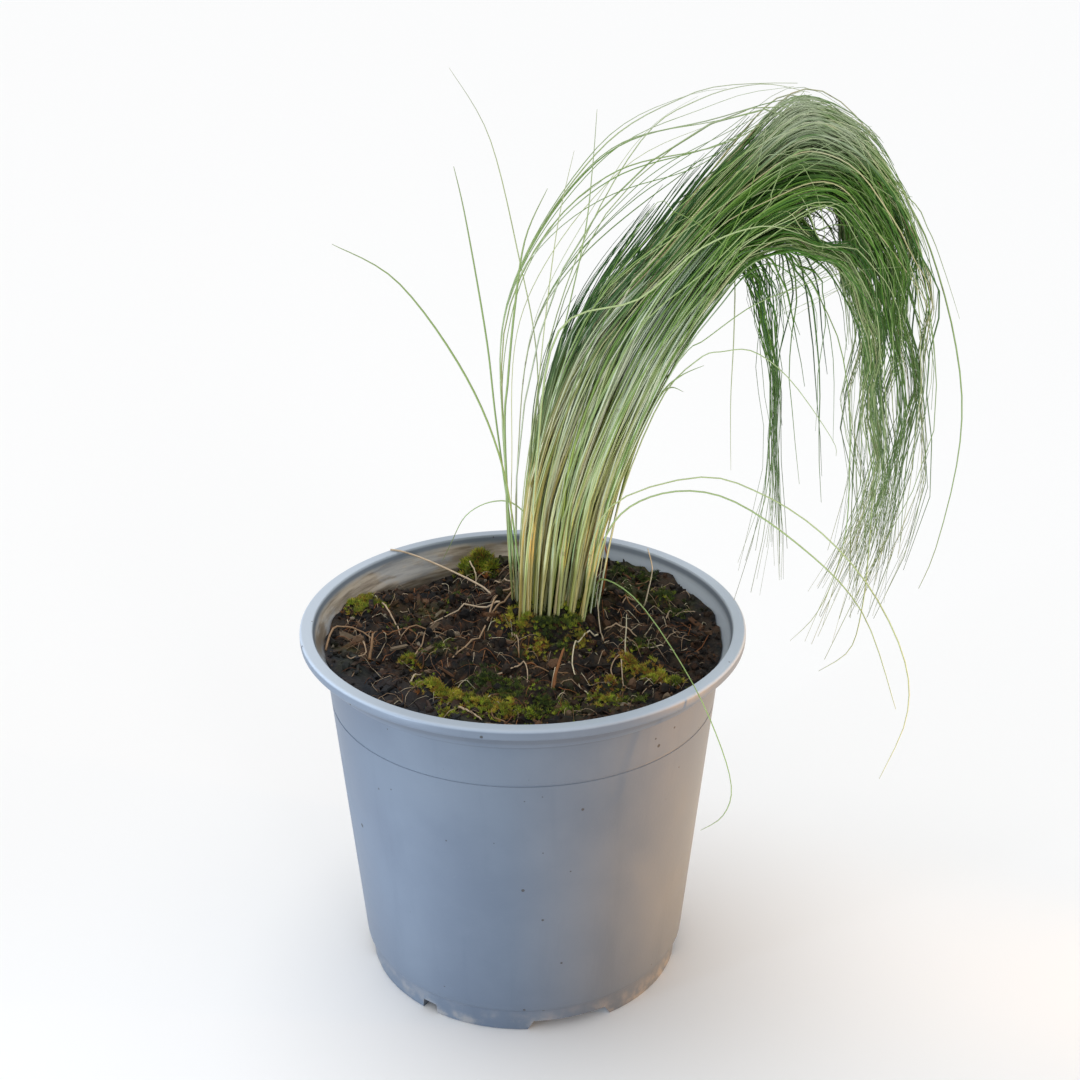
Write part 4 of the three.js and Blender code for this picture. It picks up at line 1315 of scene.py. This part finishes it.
def leafTone(base, lockTone, alone, draw):
    pick = draw.random()
    kind = "any"
    if base < sheaf["main"]["from"]:
        kind = "wisps"    # thin grey-green ones
    elif base > sheaf["main"]["to"]:
        kind = "inner"    # the dark lock on the inner side
    elif alone:
        kind = "alone"    # pale leaves that cross the others
    elif base < -6 and pick < 0.15:
        kind = "dry"      # tan leaves at the left edge
    elif base > 5 and pick < 0.45:
        kind = "straw"    # on the inner side
    # some leaves are pale all over: partly their own colour, partly painted highlight
    elif pick > 0.9:
        kind = "pale"
    tone = draw.uniform(*leafTones[kind])
    return mix(lockTone, tone, 0.5) if kind == "any" else tone


# single leaves that stray from the bunch, with the tiller each grows from
strays = [
    (10, [(1, 22, 106), (4, 23, 150), (4, 25, 184), (-1, 28, 212), (-9, 31, 245), (-20, 34, 263.6)]),
    (5, [(-1, 14, 106), (-3.6, 14, 134), (-7.6, 13.5, 168), (-10, 12, 193), (-15, 9, 227), (-18, 8, 242)]),
    (1, [(1, 6, 106), (-1.5, 4, 130), (-6, 2, 160), (-16, 0, 187), (-33, -2, 213), (-50, -4, 224)]),
    (4, [(18, 5, 106), (19.5, 2, 132), (27, -1, 149), (50, -5, 158), (67, -8, 154), (84, -10, 143),
         (99, -12, 126), (110, -13, 104), (112, -13, 85), (106, -12, 64)]),
    (4, [(19.5, 6, 106), (24, 0, 138), (36, -5, 152), (55, -9, 154), (77, -13, 141), (96, -15, 121),
         (108, -16, 90)]),
    (3, [(19, 8, 106), (21, 5, 117), (23.5, -2, 125), (33, -19, 125.5), (45, -44, 116), (53, -50, 100),
         (57, -52, 86), (55, -52, 77), (49, -53, 73)]),
    (11, [(8, 22, 106), (6, 27, 124), (-2, 31, 134), (-10, 34, 134), (-18, 37, 128), (-23, 40, 117),
          (-26, 42, 110)]),
    (1, [(-1, 14, 106), (1, 13, 137), (5, 12, 163), (11, 11, 193), (17, 10, 222), (19, 9, 241),
         (20, 8, 257)]),
    (1, [(-2, 12, 106), (0, 10, 145), (4, 9, 176), (7, 7, 205), (10, 6, 228), (14, 4, 247)]),
    (5, [(-3, 12, 106), (-5, 9, 164), (-4, 8, 182), (-2, 6, 203), (1, 5, 223), (7, 4, 237)]),
    (10, [(-2, 16, 106), (-5, 17, 148), (-6, 18, 173), (-4, 19, 193), (1, 20, 210), (11, 21, 226),
          (22, 22, 235)]),
    (4, [(22, 10, 108), (27, 9, 140), (33, 8, 164), (39, 5, 179), (44, 3, 185), (50, 0, 189)]),
    (4, [(22, 12, 108), (29, 9, 150), (36, 8, 173), (41, 7, 180), (45, 4, 180)]),
    (4, [(21, 8, 108), (26, 7, 145), (33, 6, 171), (45, 4, 191), (50, 1, 196), (62, -1, 206), (74, -3, 212),
         (86, -6, 217), (101, -8, 219)]),
    (9, [(22, 10, 108), (28, 8, 145), (39, 6, 177), (49, 3, 190), (55, 0, 193), (63, -3, 194),
         (73, -6, 187),
         (85, -9, 171), (86, -12, 167)]),
    (5, [(-2, 14, 106), (0, 13, 170), (18, 12, 225), (60, 12, 256), (96, 10, 241), (106, 9, 229),
         (112, 7, 217),
         (119, 6, 197), (123, 4, 177), (123, 3, 157), (119, 1, 133), (115, 0, 121)]),
    (10, [(0, 22, 106), (4, 22, 170), (24, 18, 228), (66, 14, 257), (102, 10, 235), (110, 8, 225),
          (115, 6, 214),
          (120, 4, 201)]),
    (4, [(19, 12, 108), (40, 10, 190), (66, 6, 222), (84, 5, 202), (91, 4, 180), (93, 4, 157), (93, 2, 139),
         (90, 0, 124), (85, -2, 113), (78, -4, 106)]),
    (9, [(19, 14, 108), (42, 12, 196), (70, 8, 226), (90, 6, 205), (98, 5, 180), (100, 4, 153),
         (100, 2, 129),
         (99, 0, 114), (96, -2, 102), (87, -4, 96)]),
    (9, [(18, 14, 108), (28, 12, 160), (44, 11, 205), (53, 10, 222), (58, 10, 214), (59, 10, 196),
         (59, 10, 175),
         (60, 10, 154)]),
    (2, [(2, 8, 108), (4, 0, 160), (10, -10, 202), (31, -11, 211), (47, -12, 225), (62, -13, 231),
         (73, -14, 229)]),
    (10, [(2, 20, 108), (4, 18, 170), (15, 15, 215), (32, 12, 248), (47, 11, 259), (63, 11, 263),
          (76, 10, 261)]),
]
strayLeaf = {"radius": (0.22, 0.32), "tone": (0.7, 0.84)}
crossingLeaf = {"radius": (0.14, 0.22), "tone": (0.58, 0.76)}
# leaves of the front tillers that come out of the bunch and cross it: the way up, then [x, z] of the end
crosserFeet = {
    1: [(2, 7, 107), (5, 1, 165), (20, -4, 208)], 2: [(7, 7, 107), (12, 1, 152), (30, -4, 198)],
    3: [(12.6, 7, 107), (18, 1, 150), (36, -4, 193)], 4: [(17.8, 7, 107), (24, 1, 147), (38, -4, 186)],
}
crosserDepth = -8
crossers = [
    (3, [(49, 215), (58.4, 236.4), (60, 241.6), (61.6, 248.6), (62.6, 255.5)]),
    (1, [(34.4, 235), (40.1, 233.5), (45.9, 230.7), (51.3, 226.3), (57.2, 221), (63.3, 215.1)]),
    (2, [(54, 232), (69.6, 245.8), (74.5, 242.5), (77.3, 236.4), (79.1, 229.7), (79.2, 224.9),
         (77.8, 213.6)]),
    (4, [(56.2, 221.9), (61.5, 230.7), (70.3, 242.1), (77.1, 246.7), (82.9, 249.5)]),
    (3, [(52, 224), (66.1, 242.1), (71.5, 246.7), (76, 249.5), (81.3, 252.3), (85.4, 254.6)]),
    (1, [(50, 243), (73, 256), (84, 254.2), (86.5, 251.4), (89.8, 244.9), (91.7, 238.3), (91.6, 233.5)]),
    (4, [(50, 213), (59.3, 227.8), (66.8, 229.7), (76.4, 228.7), (82, 230.2), (89.6, 229.2), (97.5, 225.8),
         (101.1, 222.9)]),
    (4, [(55, 218.5), (58.4, 225.8), (64.9, 229.7), (72.3, 233), (76.9, 235.4)]),
    (2, [(50, 219), (63.7, 234.5), (64.9, 238.3), (66.5, 243), (67.3, 245.8)]),
    (1, [(48, 232), (72, 247), (86.6, 243.9), (92.6, 239.7), (96.5, 237.3), (100, 235), (102.2, 232.1)]),
    (3, [(64, 226), (85, 236), (95.2, 224.9), (99.8, 215.1), (102.3, 208.6), (102.3, 202.6)]),
    (2, [(48, 228), (61, 246), (66, 248.5), (70, 248), (74, 246)]),
    (1, [(45, 232), (58, 246), (66, 255), (71, 258.5)]),
    (3, [(54, 222), (72, 235), (84, 232), (91, 224), (94, 214), (94.5, 204)]),
]


def strayStrand(path, look, draw):
    count = leafShape["points"]
    rooted = [(*path[0][:2], leafShape["foot"]), *path]
    radius = draw.uniform(*look["radius"])
    return {"points": [Vector(place) for place in alongPath(rooted, count)],
            "radii": leafRadii(radius, count),
            "tone": draw.uniform(*look["tone"]), "tilt": draw.uniform(0, 3)}


def crosserPaths(number):
    return [crosserFeet[tiller] + [(x, crosserDepth, z) for x, z in end]
            for tiller, end in crossers if tiller == number]


def growCulm(stalk, draw):
    s = culmShape
    count = leafShape["points"]
    base, depth = (stalk[key] + draw.uniform(-s["aside"], s["aside"]) for key in ("base", "depth"))
    end = draw.uniform(*s["end"])
    radius = draw.uniform(*s["radius"])
    points = []
    for step in range(count):
        share = end * alongLeaf(step)
        leans = 1 - smooth(share, 0, leafShape["leansTo"])
        leaned = max(base + stalk["lean"] * leans, leafShape["leftmost"])
        points.append(bunchPoint(leaned, depth + stalk["leanDepth"] * leans, share))
    points[0].z = leafShape["foot"]
    radii = [radius * mix(1, s["thinsTo"], i / (count - 1)) for i in range(count)]
    return {"points": points, "radii": radii, "tone": draw.uniform(*s["tone"]), "stalk": draw.random(),
            "tilt": draw.uniform(0, 3), "to": end}


def growCrestLeaf(cell, draw):
    s = crestLeaf
    count = leafShape["points"]
    base, depth = inCell(cell, draw)
    base = min(max(base, -s["starts"]), s["starts"])
    start, length = draw.uniform(*s["from"]), draw.uniform(*s["long"])
    aside, lift = draw.gauss(0, s["aside"]), draw.uniform(*s["lift"])
    aside = min(max(aside, s["reaches"][0] - base), s["reaches"][1] - base)
    points = []
    for step in range(count):
        part = step / (count - 1)
        share = start + length * part
        place = bunchPoint(base + aside * part ** 1.3, depth, share)
        points.append(keepInside(place + outwardAt(share) * lift * part * (2 - part)))
    radii = leafRadii(draw.uniform(*s["radius"]), count)
    return {"points": passHole(points, draw), "radii": radii, "tone": draw.uniform(*s["tone"]),
            "stalk": 0.5, "from": start, "to": start + length}


def growTiller(cell, number, section):
    draw = random.Random(1000 + number)
    stalks = growStalks(cell, draw)
    strands = []
    for index in range(leafShape["perTiller"]):
        leaf = growLeaf(cell, stalks[index % len(stalks)], draw)
        if leaf:
            radii = leafRadii(draw.uniform(*leafShape["radius"]) * leaf["width"], leafShape["points"])
            strands.append({**leaf, "radii": radii, "tilt": draw.uniform(0, 3)})
    strands += [growCulm(stalks[index % len(stalks)], draw) for index in range(culmShape["perTiller"])]
    strands += [growCrestLeaf(cell, draw) for _ in range(crestLeaf["perTiller"])]
    strands += [strayStrand(path, strayLeaf, draw) for tiller, path in strays if tiller == number]
    strands += [strayStrand(path, crossingLeaf, draw) for path in crosserPaths(number)]
    return sweep(f"leaves_{number:02d}", strands, section)


leafLook = {
    # the colour of a whole leaf, from the darkest tone to the driest
    "tones": [(0.0, (0.022, 0.080, 0.022)), (0.25, (0.057, 0.155, 0.019)), (0.5, (0.116, 0.25, 0.028)),
              (0.64, (0.19, 0.32, 0.07)), (0.8, (0.41, 0.51, 0.24)), (0.9, (0.56, 0.54, 0.29)),
              (1.0, (0.46, 0.31, 0.14))],
    # the foot of every leaf, from the soil up
    "foot": [(0.0, (0.34, 0.24, 0.07)), (0.03, (0.55, 0.47, 0.11)), (0.09, (0.55, 0.56, 0.18)),
             (0.2, (0.54, 0.58, 0.35))],
    # and from stalk to stalk there
    "feet": [(0.0, (0.38, 0.17, 0.05)), (0.15, (0.64, 0.44, 0.15)), (0.35, (0.74, 0.66, 0.34)),
             (0.55, (0.36, 0.50, 0.08)), (0.75, (0.16, 0.30, 0.06)), (1.0, (0.80, 0.78, 0.56))],
    # over the foot the leaves are pale and grey-green, and greener towards the crest, which turns sage; the
    # pale and the sage are partly the leaves' own colour and partly painted highlight
    "pale": (0.72, 0.78, 0.64), "paleSpan": (0.12, 0.31), "paleMost": 0.95, "paled": (0.05, 1),
    "sage": (0.46, 0.52, 0.37), "bleachedAndLitFrom": (240, 256), "bleachedAndLit": 0.85,
    "strawSpan": (0.02, 0.22), "strawMost": 0.95, "footMix": 0.55,
    "tip": (0.30, 0.34, 0.20), "tipSpan": (0.7, 1.0), "tipShare": 0.4,
    "spot": (0.16, 0.10, 0.05), "spotShare": 0.4,
    "roughness": 0.5, "level": 0.3, "ribDepth": 0.06,
}


def leafFinish():
    look = leafLook
    material, tree = newFinish("leaf_blade", look["roughness"], look["level"])
    place = addStretch(tree)
    tone, along, stalk = [addShade(tree, name) for name in ("tone", "along", "stalk")]
    colour = addRamp(tree, tone, look["tones"])
    # a second number for each leaf, drawn from the digits of its tone
    other = addMath(tree, "FRACT", times(tree, tone, float(leafShape["toneSteps"])))
    # the leaves pale over the foot: partly their own colour, partly painted highlight
    paled = addRange(tree, along, *look["paleSpan"], look["paleMost"], 0)
    colour = paint(tree, colour, look["pale"], paled, addRange(tree, other, 0.40, 0.60, *look["paled"]))
    height = addParts(tree, place)[2]
    # the crest turns sage: partly bleaching, partly painted highlight
    bleachedAndLit = addRise(tree, height, look["bleachedAndLitFrom"], 0, look["bleachedAndLit"])
    colour = paint(tree, colour, look["sage"], bleachedAndLit, addPatches(tree, place, 90, 0.3, 0.6))
    under, over = addRamp(tree, along, look["foot"]), addRamp(tree, stalk, look["feet"])
    foot = addMix(tree, look["footMix"], under, over)
    strawy = addRange(tree, along, *look["strawSpan"], look["strawMost"], 0)
    colour = paint(tree, colour, foot, strawy, addRange(tree, other, 0, 1, 1, 0.7))
    colour = paint(tree, colour, look["tip"], addRange(tree, along, *look["tipSpan"]), look["tipShare"])
    colour = paint(tree, colour, look["spot"], addSpecks(tree, place, 260, 0.3, 0.1), look["spotShare"])
    ribs = addGrain(tree, place, 1600, 2)
    bumps = addBump(tree, ribs, look["ribDepth"], 0.5)
    rough = addRange(tree, ribs, 0.3, 0.7, look["roughness"] - 0.08, look["roughness"] + 0.12)
    return finishOff(material, colour, rough, bumps)


def makeGrass():
    section = roundSection("leafSection", 4, 0.6)
    blade = leafFinish()
    number = 0
    for row, columns in rows:
        for column in range(columns):
            number += 1
            cell = ((column - (columns - 1) / 2) * tillerPitch["x"], row)
            settle(growTiller(cell, number, section), blade, "grass_leaf", f"tiller_{number:02d}")
    return number


print("grass grown,", makeGrass(), "tillers")

for helper in [o for o in bpy.data.objects if o.name.endswith("Section")]:
    bpy.data.objects.remove(helper)


# the floor, the light and the camera

studio = {
    "floor": (0.90, 0.90, 0.90), "floorSize": 8.0, "roughness": 0.9, "level": 0.1,
    "sky": (0.98, 0.99, 1.0), "skyStrength": 0.74,
    # the sun shines from [azimuth, height] in degrees, azimuth from +X towards +Y
    "sun": {"power": 1.17, "colour": (1.0, 0.99, 0.98), "from": (132, 74), "softness": 50},
}
# round lamps at the sides, in metres, in the order in which they are set up
sideLamps = {
    "coolLamp": {"power": 0.142, "colour": (0.66, 0.81, 1.0), "place": (-0.42, -0.30, 0.022),
                 "aim": (0, 0, 0.055), "size": 0.036, "spread": 44},
    "warmLamp": {"power": 0.095, "colour": (1.0, 0.48, 0.10), "place": (0.40, -0.08, 0.014),
                 "aim": (0.03, 0, 0.06), "size": 0.024, "spread": 34},
    "grassLamp": {"power": 0.065, "colour": (1.0, 0.99, 0.95), "place": (0.28, -0.60, 0.27),
                  "aim": (0.06, 0, 0.2), "size": 0.2, "spread": 40},
}
cameraView = {"target": (5, 0, 136.5), "away": 500, "elevation": 24.13, "lens": 58.07}


def makeFloor():
    selectOnly()
    bpy.ops.mesh.primitive_plane_add(size=studio["floorSize"], location=(0, 0, 0))
    floor = bpy.context.object
    floor.name = "studio_floor"
    material, tree = newFinish("studio_white", studio["roughness"], studio["level"])
    tree.nodes["Principled BSDF"].inputs["Base Color"].default_value = (*studio["floor"], 1)
    floor.data.materials.append(material)


def makeSky():
    world = bpy.data.worlds.new("studio")
    world.use_nodes = True
    background = world.node_tree.nodes["Background"]
    background.inputs["Color"].default_value = (*studio["sky"], 1)
    background.inputs["Strength"].default_value = studio["skyStrength"]
    bpy.context.scene.world = world


def addLamp(name, kind, lamp, place, aim):
    data = bpy.data.lights.new(name, kind)
    data.energy = lamp["power"]
    data.color = lamp["colour"]
    light = bpy.data.objects.new(name, data)
    light.location = place
    light.rotation_euler = (Vector(aim) - Vector(place)).to_track_quat("-Z", "Y").to_euler()
    bpy.context.scene.collection.objects.link(light)
    return data


def makeSun(sun):
    around, height = (math.radians(angle) for angle in sun["from"])
    place = (math.cos(around) * math.cos(height), math.sin(around) * math.cos(height), math.sin(height))
    addLamp("sun", "SUN", sun, place, (0, 0, 0)).angle = math.radians(sun["softness"])


def makeSideLamp(name, lamp):
    data = addLamp(name, "AREA", lamp, lamp["place"], lamp["aim"])
    data.shape = "DISK"
    data.size = lamp["size"]
    data.spread = math.radians(lamp["spread"])


def makeCamera():
    data = bpy.data.cameras.new("camera")
    data.lens = cameraView["lens"]
    camera = bpy.data.objects.new("camera", data)
    target = Vector(cameraView["target"]) * mm
    tilt = math.radians(cameraView["elevation"])
    back = Vector((0, -math.cos(tilt), math.sin(tilt)))
    camera.location = target + back * cameraView["away"] * mm
    camera.rotation_euler = (-back).to_track_quat("-Z", "Y").to_euler()
    bpy.context.scene.collection.objects.link(camera)
    bpy.context.scene.camera = camera


makeFloor()
makeSky()
makeSun(studio["sun"])
for lampName, lamp in sideLamps.items():
    makeSideLamp(lampName, lamp)
makeCamera()
bpy.context.scene.view_settings.view_transform = "Standard"
print("studio ready")
